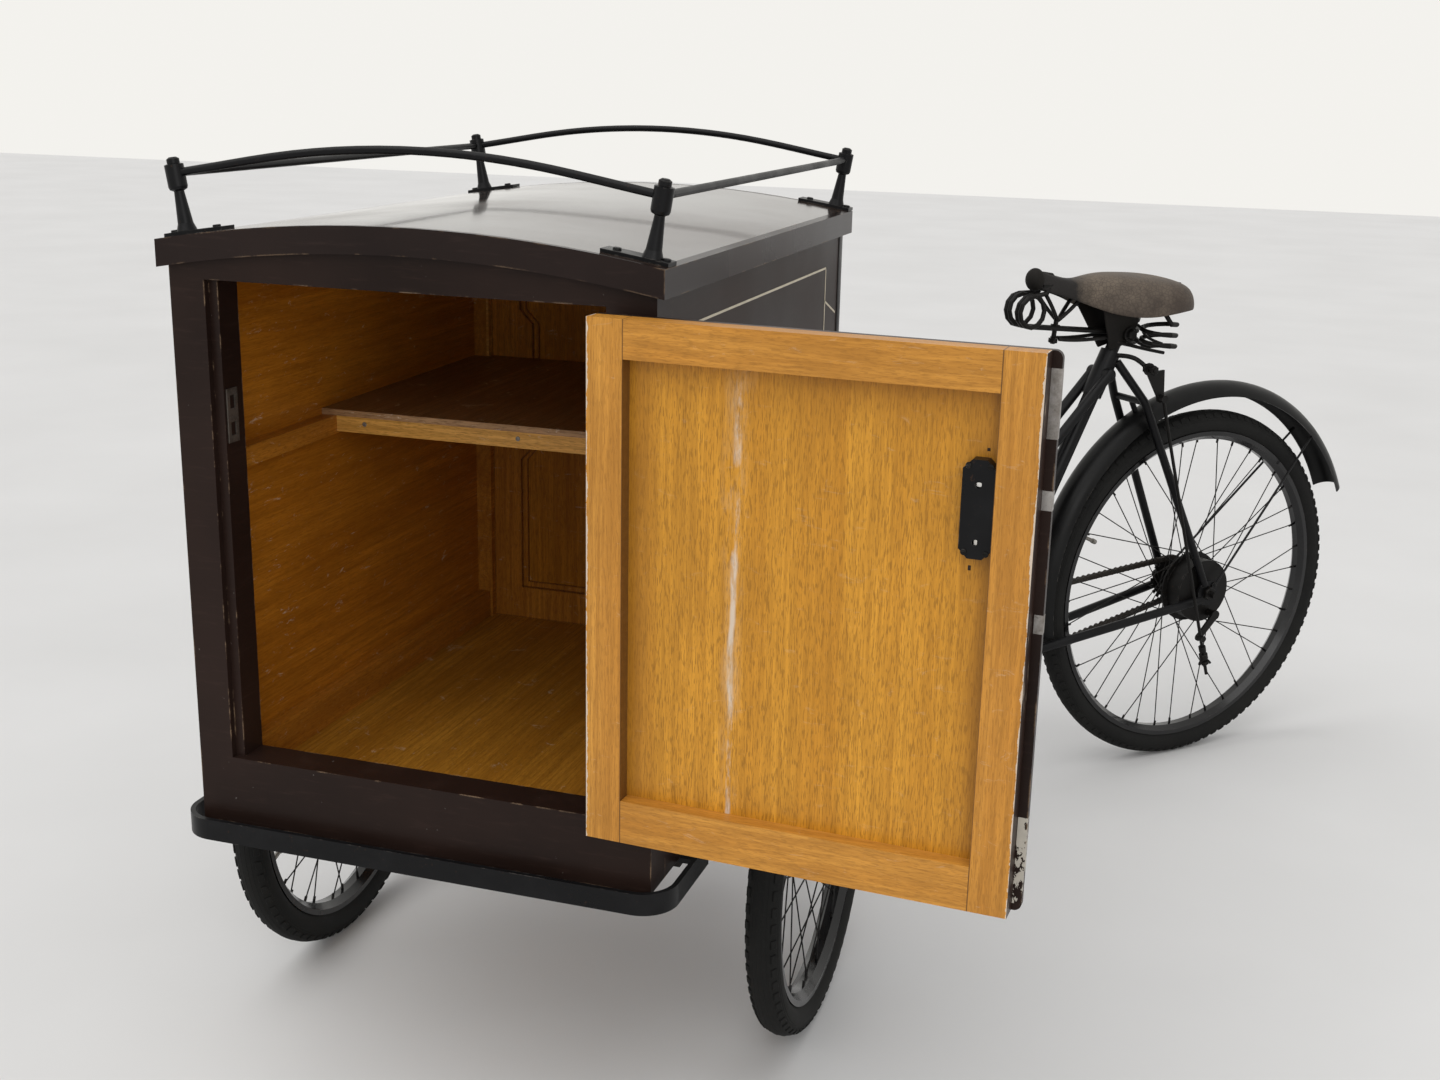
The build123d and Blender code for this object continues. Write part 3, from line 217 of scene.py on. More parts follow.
# grain runs along one axis, with streaks and pores in it and white scuffs over it
def wood(m, pale, deep, sheen, along=(0, 0, 1), scuffs=0.4, pores=0.5, lines=0.35):
    vector = place(m, tuple(0.04 if a else 1 for a in along))
    broad = noise(m, vector, 24, 4, 0.55, 0.5)
    colour = blend(m, grey(m, broad, 0.3, 0.7), pale, deep)
    rings = addNode(m, "ShaderNodeTexWave", wave_type="BANDS", bands_direction="X" if not along[0] else "Z")
    rings.inputs["Scale"].default_value = 26
    rings.inputs["Distortion"].default_value = 14
    rings.inputs["Detail"].default_value = 4
    rings.inputs["Detail Scale"].default_value = 0.8
    m["links"].new(vector, rings.inputs["Vector"])
    colour = blend(m, grey(m, rings.outputs["Fac"], 0.5, 1, 0, lines), colour, shade(deep, 0.62))
    fibres = noise(m, vector, 420, 3, 0.65)
    layers = [
        # value, where it starts and ends, strength, shade of the deep tone
        (noise(m, vector, 140, 3, 0.6), 0.44, 0.64, 0.5, 0.7),
        (fibres, 0.42, 0.68, 0.5, 0.62),
        (noise(m, place(m, tuple(0.11 if a else 1 for a in along)), 820, 2, 0.5), 0.52, 0.62, pores, 0.42),
        (noise(m, place(m), 4.5, 4, 0.6), 0.42, 0.72, 0.35, 0.62),
    ]
    for value, low, high, strength, share in layers:
        colour = blend(m, grey(m, value, low, high, 0, strength), colour, shade(deep, share))
    marks = noise(m, place(m, (1, 1, 3), (0.4, 0.2, 0.7)), 34, 7, 0.78, 0.8)
    colour = blend(m, grey(m, marks, 0.6, 0.68, 0, scuffs), colour, (0.7, 0.6, 0.46))
    rough = grey(m, fibres, 0.3, 0.8, sheen, sheen + 0.18)
    return {"colour": colour, "rough": rough, "normal": bump(m, fibres, 0.16, 0.0005)}


def varnished(m, look):
    return finishWith(m, look["colour"], look["rough"], look["normal"], coat=0.08, coatRoughness=0.22,
                      level=0.25)


# black stove enamel with dust and a little rust
def enamel(m, tint, sheen, rust=0.5, coat=0.0, level=0.15):
    rustTint, chipTint = (0.085, 0.04, 0.02), (0.2, 0.18, 0.16)
    cloud = noise(m, place(m), 14, 5, 0.65)
    fine = noise(m, place(m), 220, 4, 0.7)
    colour = blend(m, grey(m, cloud, 0.45, 0.75, 0, 0.5), tint, tuple(c * 1.7 + 0.006 for c in tint))
    colour = blend(m, grey(m, fine, 0.64, 0.72, 0, rust), colour, rustTint)
    broken = grey(m, noise(m, place(m), 60, 4, 0.7), 0.52, 0.62, 0, 0.5)
    colour = blend(m, maths(m, "MULTIPLY", edges(m, 0.0015), broken), colour, chipTint)
    rough = grey(m, cloud, 0.3, 0.75, sheen, sheen + 0.25)
    return finishWith(m, colour, rough, bump(m, fine, 0.06, 0.0004), coat=coat, level=level)


def oldSteel(m, tint, dirt, sheen, shine=0.85):
    cloud = noise(m, place(m), 30, 6, 0.7)
    fine = noise(m, place(m), 400, 3, 0.6)
    colour = blend(m, grey(m, cloud, 0.4, 0.68), tint, dirt)
    colour = blend(m, grey(m, fine, 0.6, 0.75, 0, 0.6), colour, shade(dirt, 0.5))
    rough = grey(m, cloud, 0.3, 0.75, sheen, sheen + 0.35)
    return finishWith(m, colour, rough, bump(m, fine, 0.08, 0.0003), metallic=shine)


def rubber(m, tint, dust):
    cloud = noise(m, place(m), 9, 5, 0.65)
    fine = noise(m, place(m), 260, 4, 0.7)
    colour = blend(m, grey(m, cloud, 0.4, 0.72, 0, 0.75), tint, dust)
    colour = blend(m, grey(m, fine, 0.55, 0.75, 0, 0.35), colour, shade(dust, 1.5))
    rough = grey(m, cloud, 0.3, 0.7, 0.62, 0.85)
    return finishWith(m, colour, rough, bump(m, fine, 0.15, 0.0005), level=0.15)


# how far behind the steering pivot a point is, along the cycle
def cycleBack(m):
    split = addNode(m, "ShaderNodeSeparateXYZ")
    m["links"].new(place(m, rotation=(0, 0, steerAngle)), split.inputs["Vector"])
    start = cyclePoint(0, 0, 0)
    start.rotate(Matrix.Rotation(steerAngle, 3, "Z"))
    return maths(m, "SUBTRACT", split.outputs["Y"], start.y)


# dusty saddle leather with cracks, greasy and black toward the nose
def hide(m):
    tones = {"brown": (0.17, 0.135, 0.1), "dark": (0.055, 0.04, 0.03), "black": (0.012, 0.01, 0.009),
             "crack": (0.03, 0.022, 0.018)}
    noseEnds = (0.775, 0.812)
    cloud = noise(m, place(m), 12, 6, 0.7)
    cracks = addNode(m, "ShaderNodeTexVoronoi", feature="DISTANCE_TO_EDGE")
    cracks.inputs["Scale"].default_value = 150
    m["links"].new(place(m), cracks.inputs["Vector"])
    lines = grey(m, cracks.outputs["Distance"], 0.0, 0.12)
    colour = blend(m, grey(m, cloud, 0.35, 0.7), tones["dark"], tones["brown"])
    colour = blend(m, maths(m, "MULTIPLY", maths(m, "SUBTRACT", 1, lines), 0.5), colour, tones["crack"])
    behind = maths(m, "ADD", cycleBack(m), grey(m, noise(m, place(m), 40, 4, 0.6), 0.3, 0.7, -0.012, 0.012))
    colour = blend(m, grey(m, behind, *noseEnds), tones["black"], colour)
    rough = grey(m, cloud, 0.3, 0.7, 0.5, 0.75)
    return finishWith(m, colour, rough, bump(m, lines, 0.35, 0.0006), level=0.3)


def coachPaint(m):
    return paintedWood(m, (0.022, 0.0115, 0.0085), 0.3, 0.8)


def insidePly(m, along=(0, 1, 0)):
    return varnished(m, wood(m, (0.64, 0.25, 0.022), (0.43, 0.145, 0.009), 0.36, along, 0.6, 0.3, 0.2))


# frame timber with painted shade darkening its moulded edges
def frameWood(m):
    look = wood(m, (0.62, 0.26, 0.03), (0.42, 0.15, 0.014), 0.4, (0, 0, 1), 0.3)
    edgeShade = (0.035, 0.015, 0.006)
    # painted shade along the sharp edges of the mouldings
    look["colour"] = blend(m, maths(m, "MULTIPLY", edges(m, 0.004), 0.9), look["colour"], edgeShade)
    return varnished(m, look)


# the door's own width and depth at a point, as when it is shut
def doorAxis(m, axis):
    turnBack = place(m, rotation=(0, 0, -doorAngle))
    split = addNode(m, "ShaderNodeSeparateXYZ")
    m["links"].new(turnBack, split.inputs["Vector"])
    away = doorPoint(0, 0, 0)
    away.rotate(Matrix.Rotation(-doorAngle, 3, "Z"))
    return maths(m, "SUBTRACT", split.outputs[axis], away["XYZ".index(axis)])


# stiles with upright grain between the top and bottom rails, joints, and a painted, worn outer edge
def doorStiles(m):
    pine = {"pale": (0.66, 0.31, 0.052), "deep": (0.52, 0.215, 0.027), "paint": (0.026, 0.013, 0.009),
            "bare": (0.62, 0.55, 0.46), "gap": (0.05, 0.022, 0.008), "scraped": (0.34, 0.27, 0.2),
            "stileIn": 0.1895, "joint": 0.0006, "wornFrom": 0.2282, "paintFrom": 0.2293}
    upright = wood(m, pine["pale"], pine["deep"], 0.36, (0, 0, 1), 0.18, 0.35, 0.3)
    level = wood(m, shade(pine["pale"], 0.97), pine["deep"], 0.36, (1, 0, 0), 0.18, 0.35, 0.3)
    aside = maths(m, "ABSOLUTE", doorAxis(m, "X"), 0)
    onRail = maths(m, "LESS_THAN", aside, pine["stileIn"])
    colour = blend(m, onRail, upright["colour"], level["colour"])
    fromJoint = maths(m, "ABSOLUTE", maths(m, "SUBTRACT", aside, pine["stileIn"]), 0)
    seam = maths(m, "LESS_THAN", fromJoint, pine["joint"])
    colour = blend(m, maths(m, "MULTIPLY", seam, 0.75), colour, pine["gap"])
    drift = grey(m, noise(m, place(m, (1, 1, 0.5)), 60, 6, 0.75), 0.3, 0.7, -0.0022, 0.0022)
    worn = maths(m, "GREATER_THAN", maths(m, "ADD", aside, drift), pine["wornFrom"])
    colour = blend(m, maths(m, "MULTIPLY", worn, 0.8), colour, pine["bare"])
    painted = maths(m, "GREATER_THAN", aside, pine["paintFrom"])
    scraped = grey(m, noise(m, place(m, (1, 1, 0.3)), 45, 5, 0.7), 0.6, 0.68, 0, 0.8)
    paint = blend(m, scraped, pine["paint"], pine["scraped"])
    colour = blend(m, painted, colour, paint)
    finishWith(m, colour, upright["rough"], upright["normal"], coat=0.08, coatRoughness=0.22, level=0.25)


# veneer with upright grain, painted shade along its frame and under its top rail, and one pale streak down
# it
def oakVeneer(m):
    streak = {"at": 0.072, "core": 0.0022, "halo": 0.016, "haloTint": (0.6, 0.46, 0.3),
              "coreTint": (0.66, 0.6, 0.52)}
    frameShadeTint = (0.3, 0.12, 0.01)
    oak = wood(m, (0.74, 0.35, 0.034), (0.56, 0.24, 0.018), 0.36, (0, 0, 1), 0.12, 0.62, 0.2)
    aside = maths(m, "ABSOLUTE", doorAxis(m, "X"), 0)
    # painted shade: darker in uneven patches toward the stiles and under the top rail
    rim = maths(m, "MAXIMUM", grey(m, aside, 0.15, 0.19), grey(m, axisValue(m, "Z"), 0.93, 1.01))
    rim = maths(m, "MULTIPLY", rim, grey(m, noise(m, place(m), 7, 4, 0.6), 0.3, 0.65, 0.25, 0.75))
    colour = blend(m, rim, oak["colour"], frameShadeTint)
    drift = grey(m, noise(m, place(m, (1, 1, 0.4)), 7, 4, 0.6), 0.3, 0.7, -0.011, 0.011)
    across = maths(m, "ADD", doorAxis(m, "X"), drift)
    offset = maths(m, "ABSOLUTE", maths(m, "SUBTRACT", across, streak["at"]), 0)
    patchy = grey(m, noise(m, place(m, (1, 1, 0.3)), 24, 6, 0.75), 0.42, 0.62)
    halo = maths(m, "MULTIPLY", grey(m, offset, 0.004, streak["halo"], 0.4, 0), patchy)
    colour = blend(m, halo, colour, streak["haloTint"])
    broken = grey(m, noise(m, place(m, (1, 1, 0.25), shift=(3, 1, 2)), 30, 6, 0.75), 0.45, 0.6)
    core = maths(m, "MULTIPLY", grey(m, offset, streak["core"], streak["core"] * 2.2, 0.7, 0), broken)
    colour = blend(m, core, colour, streak["coreTint"])
    finishWith(m, colour, oak["rough"], oak["normal"], coat=0.1, coatRoughness=0.2, level=0.25)


def plain(m, tint, rough):
    cloud = noise(m, place(m), 60, 4, 0.6)
    colour = blend(m, grey(m, cloud, 0.35, 0.7, 0, 0.4), tint, shade(tint, 0.6))
    return finishWith(m, colour, grey(m, cloud, 0.3, 0.7, rough, rough + 0.15), bump(m, cloud, 0.1, 0.0003))


materials = {
    "coachPaint": coachPaint,
    "fasciaPaint": lambda m: paintedWood(m, (0.019, 0.0105, 0.0085), 0.16, 0.5, 0.0, 0.16),
    "floorBoards": lambda m: varnished(m, wood(m, (0.58, 0.27, 0.03), (0.37, 0.15, 0.012), 0.42, (0, 1, 0),
                                               0.5, 0.4)),
    "frameWood": frameWood,
    "doorStiles": doorStiles,
    "oakVeneer": oakVeneer,
    "blackEnamel": lambda m: enamel(m, (0.0045, 0.0045, 0.005), 0.24, 0.35),
    "rimEnamel": lambda m: enamel(m, (0.004, 0.004, 0.0045), 0.1, 0.15, 0.2, 0.3),
    "guardEnamel": lambda m: enamel(m, (0.0045, 0.0045, 0.0045), 0.26, 0.2),
    "chassisPaint": lambda m: enamel(m, (0.014, 0.012, 0.011), 0.45, 0.8),
    "wirePaint": lambda m: enamel(m, (0.0055, 0.005, 0.0045), 0.36, 0.5),
    "dullSteel": lambda m: oldSteel(m, (0.3, 0.29, 0.27), (0.1, 0.075, 0.055), 0.36),
    "keepSteel": lambda m: oldSteel(m, (0.16, 0.14, 0.12), (0.035, 0.024, 0.017), 0.4, 0.7),
    "brightSteel": lambda m: oldSteel(m, (0.75, 0.74, 0.72), (0.4, 0.36, 0.3), 0.18, 0.95),
    "springSteel": lambda m: enamel(m, (0.006, 0.0055, 0.005), 0.34, 0.5),
    "chainSteel": lambda m: oldSteel(m, (0.03, 0.026, 0.022), (0.016, 0.011, 0.008), 0.45, 0.4),
    "tyreRubber": lambda m: rubber(m, (0.0065, 0.0065, 0.0062), (0.018, 0.0175, 0.016)),
    "gripRubber": lambda m: rubber(m, (0.011, 0.011, 0.011), (0.04, 0.037, 0.034)),
    "saddleHide": hide,
    "blackHide": lambda m: rubber(m, (0.009, 0.008, 0.007), (0.02, 0.017, 0.014)),
    "linePaint": lambda m: plain(m, (0.6, 0.53, 0.4), 0.4),
    "tapeSilver": lambda m: oldSteel(m, (0.34, 0.32, 0.3), (0.11, 0.09, 0.07), 0.45, 0.4),
    "plugDark": lambda m: plain(m, (0.02, 0.01, 0.005), 0.7),
}
for name, build in materials.items():
    made = newMaterial(name)
    build(made)
    materials[name] = made["material"]



# how far a point is from the box's middle plane
def fromMiddle(m):
    return maths(m, "ABSOLUTE", maths(m, "SUBTRACT", axisValue(m, "X"), planShift.x), 0)


# boards that are painted outside and bare inside
made = newMaterial("sideBoard")
inside = maths(made, "LESS_THAN", fromMiddle(made), box["sideInside"])
twoFaced(made, inside, coachPaint(made), insidePly(made))
materials["sideBoard"] = made["material"]

made = newMaterial("backBoard")
inside = maths(made, "LESS_THAN", axisValue(made, "Y"), box["backInside"] + planShift.y)
backPly = varnished(made, wood(made, (0.62, 0.26, 0.022), (0.42, 0.155, 0.009), 0.4, scuffs=0.3))
twoFaced(made, inside, coachPaint(made), backPly)
materials["backBoard"] = made["material"]

# the door's skin is worn pale on a short length of its lip
made = newMaterial("doorSkin")
lip = {"from": 0.2299, "foot": 0.470, "head": 0.563}
onLip = maths(made, "GREATER_THAN", maths(made, "ABSOLUTE", doorAxis(made, "X"), 0), lip["from"])
level = axisValue(made, "Z")
aboveFoot = maths(made, "GREATER_THAN", level, lip["foot"])
span = maths(made, "MULTIPLY", aboveFoot, maths(made, "LESS_THAN", level, lip["head"]))
flaked = maths(made, "GREATER_THAN", noise(made, place(made, (1, 1, 0.6)), 70, 5, 0.7), 0.5)
bare = plain(made, (0.5, 0.46, 0.39), 0.6)
wornLip = maths(made, "MULTIPLY", maths(made, "MULTIPLY", onLip, span), flaked)
twoFaced(made, wornLip, coachPaint(made), bare)
materials["doorSkin"] = made["material"]


# 1 where a face looks up, -1 where it looks down
def upward(m):
    facing = addNode(m, "ShaderNodeNewGeometry")
    split = addNode(m, "ShaderNodeSeparateXYZ")
    m["links"].new(facing.outputs["Normal"], split.inputs["Vector"])
    return split.outputs["Z"]


made = newMaterial("roofSheet")
under = maths(made, "LESS_THAN", upward(made), -0.4)
roofPaint = paintedWood(made, (0.045, 0.028, 0.02), 0.07, 0.4, 0.3, 0.45)
twoFaced(made, under, roofPaint, insidePly(made, (1, 0, 0)))
materials["roofSheet"] = made["material"]

made = newMaterial("shelfBoard")
pale = varnished(made, wood(made, (0.5, 0.3, 0.15), (0.3, 0.15, 0.06), 0.5, (1, 0, 0), 0.7))
dark = varnished(made, wood(made, (0.42, 0.23, 0.09), (0.24, 0.12, 0.04), 0.34, (0, 1, 0), 0.8))
twoFaced(made, maths(made, "GREATER_THAN", upward(made), 0.5), pale, dark)
materials["shelfBoard"] = made["material"]

# the batten under the shelf's front edge runs across, the others run back
made = newMaterial("innerBattens")
backward = varnished(made, wood(made, (0.62, 0.26, 0.03), (0.42, 0.15, 0.014), 0.4, (0, 1, 0), 0.4))
across = varnished(made, wood(made, (0.78, 0.42, 0.1), (0.6, 0.28, 0.045), 0.4, (1, 0, 0), 0.3))
batten = {"end": 0.2552, "above": 0.79}
amid = maths(made, "LESS_THAN", fromMiddle(made), batten["end"])
high = maths(made, "GREATER_THAN", axisValue(made, "Z"), batten["above"])
twoFaced(made, maths(made, "MULTIPLY", amid, high), backward, across)
materials["innerBattens"] = made["material"]

nodeLooks = {
    "coachPaint": ["box_front_frame"], "sideBoard": ["box_side_left", "box_side_right"],
    "backBoard": ["box_back"], "floorBoards": ["box_floor"], "roofSheet": ["roof_board"],
    "fasciaPaint": ["roof_fascia"], "frameWood": ["back_inner_frame"], "innerBattens": ["inner_battens"],
    "shelfBoard": ["shelf"], "keepSteel": ["lock_keep"], "doorSkin": ["door_skin"],
    "doorStiles": ["door_frame"], "oakVeneer": ["door_panel"], "saddleHide": ["saddle"],
    "guardEnamel": ["mudguard"], "chainSteel": ["chain"], "springSteel": ["saddle_frame"],
    "blackEnamel": ["hinges_fixed", "guard_rail", "head_brackets", "handlebar", "roof_rack", "lock_case",
                    "hinges_door", "cycle_frame", "crank"],
    "chassisPaint": ["chassis", "front_axle", "leaf_springs"],
    "gripRubber": ["handlebar_grips", "pedal_left", "pedal_right"],
    "tyreRubber": ["front_tyre_left", "front_tyre_right", "rear_tyre"],
    "rimEnamel": ["front_rim_left", "front_rim_right", "rear_rim"],
    "wirePaint": ["front_hub_left", "front_hub_right", "rear_hub", "rear_axle", "brake_plate", "brake_rod"],
}
for look, nodes in nodeLooks.items():
    for node in nodes:
        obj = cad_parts[node]
        obj.data.materials.clear()
        obj.data.materials.append(materials[look])
print("stage: materials on", sum(len(nodes) for nodes in nodeLooks.values()), "nodes")


def aimAt(way):
    return Vector(way).to_track_quat("Z", "Y").to_euler()


def boxWay(x, y, z):
    return Vector((x, y, z)).normalized()


def cycleWay(aside, back, z):
    return (cyclePoint(aside, back, z) - cyclePoint(0, 0, 0)).normalized()


def doorWay(x, y, z):
    return (doorPoint(x, y, z) - doorPoint(0, 0, 0)).normalized()


def pickNothing():
    if bpy.context.object and bpy.context.object.mode == "EDIT":
        bpy.ops.object.mode_set(mode="OBJECT")
    bpy.ops.object.select_all(action="DESELECT")


def pickFaces(piece, test):
    # leaves the piece in edit mode with only the wanted faces picked
    bpy.ops.object.mode_set(mode="EDIT")
    bpy.ops.mesh.select_mode(type="FACE")
    bpy.ops.mesh.select_all(action="DESELECT")
    bpy.ops.object.mode_set(mode="OBJECT")
    for face in piece.data.polygons:
        face.select = test(face)
    bpy.ops.object.mode_set(mode="EDIT")


def settle(name, body, look, smooth=35):
    piece = bpy.context.object
    piece.name = name
    bpy.ops.object.transform_apply(location=True, rotation=True, scale=True)
    piece.data.materials.clear()
    piece.data.materials.append(materials[look])
    bpy.ops.object.shade_smooth_by_angle(angle=math.radians(smooth))
    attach(piece, body)


def joinAll(pieces):
    pickNothing()
    for piece in pieces:
        piece.select_set(True)
    bpy.context.view_layer.objects.active = pieces[0]
    bpy.ops.object.transform_apply(location=True, rotation=True, scale=True)
    if len(pieces) > 1:
        bpy.ops.object.join()
    return bpy.context.object


def lay(places):
    # copies of the active piece, each with its own mesh, at (point, direction) places
    master = bpy.context.object
    copies = []
    for at, way in places:
        pickNothing()
        master.select_set(True)
        bpy.context.view_layer.objects.active = master
        bpy.ops.object.duplicate(linked=False)
        copy = bpy.context.object
        copy.location = at
        copy.rotation_euler = aimAt(way)
        copies.append(copy)
    pickNothing()
    master.select_set(True)
    bpy.ops.object.delete()
    return joinAll(copies)


def stud(radius, height, sides, chamfer):
    # a nut or bolt head standing on its own foot, sunk a little, its outer face chamfered
    sunk = 0.0003
    pickNothing()
    bpy.ops.mesh.primitive_cylinder_add(vertices=sides, radius=radius, depth=height)
    head = bpy.context.object
    pickFaces(head, lambda face: face.normal.z > 0.9)
    bpy.ops.mesh.bevel(offset=chamfer, segments=1 if sides == 6 else 2, affect="EDGES")
    bpy.ops.mesh.select_all(action="SELECT")
    bpy.ops.transform.translate(value=(0, 0, height / 2 - sunk))
    bpy.ops.object.mode_set(mode="OBJECT")
    return head


def slottedStud(radius, height):
    # a screw head with its slot sunk by an inset and an extrude
    head = stud(radius, height, 16, height * 0.4)
    top = max(vertex.co.z for vertex in head.data.vertices)
    pickFaces(head, lambda face: face.normal.z > 0.9 and face.center.z > top - 0.0001)
    bpy.ops.mesh.inset(thickness=radius * 0.25, depth=0)
    bpy.ops.transform.resize(value=(1, 0.22, 1))
    bpy.ops.mesh.extrude_region_move(TRANSFORM_OT_translate={"value": (0, 0, -height * 0.35)})
    bpy.ops.object.mode_set(mode="OBJECT")
    return head


def slab(low, high, toPlace, bevel=0.0):
    # a thin block between two corners given in its own body's coordinates
    pickNothing()
    middle = [(a + b) / 2 for a, b in zip(low, high)]
    size = [b - a for a, b in zip(low, high)]
    bpy.ops.mesh.primitive_cube_add(size=1)
    block = bpy.context.object
    pickFaces(block, lambda face: True)
    bpy.ops.transform.resize(value=size)
    if bevel:
        bpy.ops.mesh.bevel(offset=bevel, segments=2, affect="EDGES")
    bpy.ops.object.mode_set(mode="OBJECT")
    origin = toPlace(0, 0, 0)
    block.rotation_euler.z = math.atan2(*reversed((toPlace(1, 0, 0) - origin).to_2d()))
    block.location = toPlace(*middle)
    return block


def wire(points, radius, sides=8):
    # a bent wire: a smooth curve with a round bevel, made a mesh
    pickNothing()
    curve = bpy.data.curves.new("wire", "CURVE")
    curve.dimensions = "3D"
    curve.bevel_depth = radius
    curve.bevel_resolution = max(1, sides // 4)
    curve.resolution_u = 5
    curve.use_fill_caps = True
    line = curve.splines.new("NURBS")
    line.points.add(len(points) - 1)
    for spot, point in zip(line.points, points):
        spot.co = (*point, 1)
    line.order_u = 3
    line.use_endpoint_u = True
    bent = bpy.data.objects.new("wire", curve)
    bpy.context.collection.objects.link(bent)
    bent.select_set(True)
    bpy.context.view_layer.objects.active = bent
    bpy.ops.object.convert(target="MESH")
    return bpy.context.object


# wheels: tread, nipples and valves

wheels = {
    "rear": {"body": "rear_wheel", "middle": cyclePoint(0, rearHub["behind"], rearHub["up"]),
             "axle": cycleWay(1, 0, 0), "back": cycleWay(0, 1, 0), "radius": rearHub["up"], "arc": 0.0212,
             "rim": 0.2807, "spokes": 40, "blocks": 104, "valve": 154.6},
}
for side, label, valveTurn in ((1, "left", 20), (-1, "right", 200)):
    wheels["front_" + label] = {
        "body": "front_wheel_" + label,
        "middle": boxPoint(side * frontHub["aside"], frontHub["back"], frontHub["up"]),
        "axle": boxWay(1, 0, 0), "back": boxWay(0, 1, 0), "radius": frontHub["up"], "arc": 0.0221,
        "rim": 0.1977, "spokes": 32, "blocks": 72, "valve": valveTurn}
treadBlock = {"across": 0.0085, "along": 0.55, "proud": 0.0016, "lean": 50, "bevel": 0.0006}
rib = {"leans": (9, 25, 68, 76), "thick": 0.0007, "sunk": 0.0003}
nipple = {"size": (0.0021, 0.009, 8, 0.0006), "sunk": 0.0012, "asides": (0.002, 0.0046)}
valve = {"stem": (0.0034, 0.024, 14, 0.001), "cap": (0.0046, 0.009, 14, 0.0016), "sunk": 0.001,
         "reach": 0.022}

for name, wheel in wheels.items():
    axle, middle, back = wheel["axle"], wheel["middle"], wheel["back"]
    hoop = wheel["radius"] - wheel["arc"]
    pitch = 2 * math.pi * wheel["radius"] / wheel["blocks"]
    parts = []
    for side in (-1, 1):
        lean = math.radians(treadBlock["lean"])
        out = axle * side * math.sin(lean) + upWay * math.cos(lean)
        pickNothing()
        bpy.ops.mesh.primitive_cube_add(size=1)
        block = bpy.context.object
        pickFaces(block, lambda face: True)
        blockSize = (treadBlock["across"], pitch * treadBlock["along"], 2 * treadBlock["proud"])
        bpy.ops.transform.resize(value=blockSize)
        bpy.ops.mesh.bevel(offset=treadBlock["bevel"], segments=1, affect="EDGES")
        bpy.ops.object.mode_set(mode="OBJECT")
        away = back.cross(out)
        turned = Matrix((away, back, out)).transposed()
        block.rotation_euler = turned.to_euler()
        block.location = middle + upWay * hoop + out * wheel["arc"]
        bpy.ops.object.transform_apply(location=True, rotation=True, scale=True)
        pickFaces(block, lambda face: True)
        steps = wheel["blocks"] - 1
        bpy.ops.mesh.spin(steps=steps, dupli=True, angle=2 * math.pi * steps / wheel["blocks"],
                          center=middle, axis=axle)
        bpy.ops.mesh.select_all(action="SELECT")
        bpy.ops.mesh.normals_make_consistent(inside=False)
        bpy.ops.object.mode_set(mode="OBJECT")
        parts.append(block)
        for ribLean in rib["leans"]:
            lean = math.radians(ribLean)
            pickNothing()
            reach = wheel["arc"] - rib["sunk"]
            bpy.ops.mesh.primitive_torus_add(major_radius=hoop + reach * math.cos(lean),
                                             minor_radius=rib["thick"], major_segments=96, minor_segments=6,
                                             location=middle + axle * side * reach * math.sin(lean),
                                             rotation=aimAt(axle))
            parts.append(bpy.context.object)
    joinAll(parts)
    settle(name + "Tread", wheel["body"], "tyreRubber", 40)

    spots = []
    perSide = wheel["spokes"] // 2
    for side in (-1, 1):
        for k in range(perSide):
            turn = 2 * math.pi * (k + (0.5 if side > 0 else 0)) / perSide
            aside = side * nipple["asides"][k % 2]
            ray = back * math.cos(turn) + upWay * math.sin(turn)
            spots.append((middle + axle * aside + ray * (wheel["rim"] + nipple["sunk"]), -ray))
    stud(*nipple["size"])
    lay(spots)
    settle(name + "Nipples", wheel["body"], "wirePaint")

    turn = math.radians(wheel["valve"])
    ray = back * math.cos(turn) + upWay * math.sin(turn)
    stud(*valve["stem"])
    stem = lay([(middle + ray * (wheel["rim"] + valve["sunk"]), -ray)])
    stud(*valve["cap"])
    cap = lay([(middle + ray * (wheel["rim"] - valve["reach"]), -ray)])
    joinAll([stem, cap])
    settle(name + "Valve", wheel["body"], "dullSteel")
print("stage: tread, nipples and valves")

# nuts, bolts and screws; a nut's size is its radius, height, sides and chamfer

nutSets = {
    "frontAxleNuts": {"body": "carriage", "look": "chassisPaint", "size": (0.0125, 0.009, 6, 0.0018),
                      "at": [(boxPoint(side * frontHub["nut"], frontHub["back"], frontHub["up"]),
                              boxWay(side, 0, 0)) for side in (1, -1)]},
    "rearAxleNuts": {"body": "cycle", "look": "wirePaint", "size": (0.0132, 0.0083, 6, 0.0018),
                     "at": [(cyclePoint(side * 0.0629, rearHub["behind"], rearHub["up"]),
                             cycleWay(side, 0, 0)) for side in (1, -1)]},
    "headNuts": {"body": "carriage", "look": "blackEnamel", "size": (0.016, 0.011, 6, 0.002),
                 "at": [(boxPoint(0, pivotBehind, 0.5664), boxWay(0, 0, 1)),
                        (boxPoint(0, pivotBehind, 0.3856), boxWay(0, 0, -1))]},
    "saddleClampNuts": {"body": "cycle", "look": "springSteel", "size": (0.0095, 0.008, 6, 0.0014),
                        "at": [(cyclePoint(side * 0.030, 0.8986, 0.8258), cycleWay(side, 0, 0))
                               for side in (1, -1)]},
    "rackBolts": {"body": "carriage", "look": "blackEnamel", "size": (0.0046, 0.0028, 16, 0.0011), "at": []},
    "chassisBolts": {"body": "carriage", "look": "chassisPaint", "size": (0.0065, 0.005, 6, 0.001),
                     "at": []},
    "bracketBolts": {"body": "carriage", "look": "blackEnamel", "size": (0.006, 0.005, 6, 0.001), "at": []},
}
rackFoot = {"aside": 0.274, "backs": (0.020, 0.776), "inward": (-0.016, 0.038), "crown": 1.100,
            "arc": 1.6580}
springSeat = {"aside": 0.205, "backs": (0.245, 0.621), "step": 0.010, "up": 0.335}
headPlate = {"aside": 0.034, "heights": (0.372, 0.430, 0.522, 0.580)}
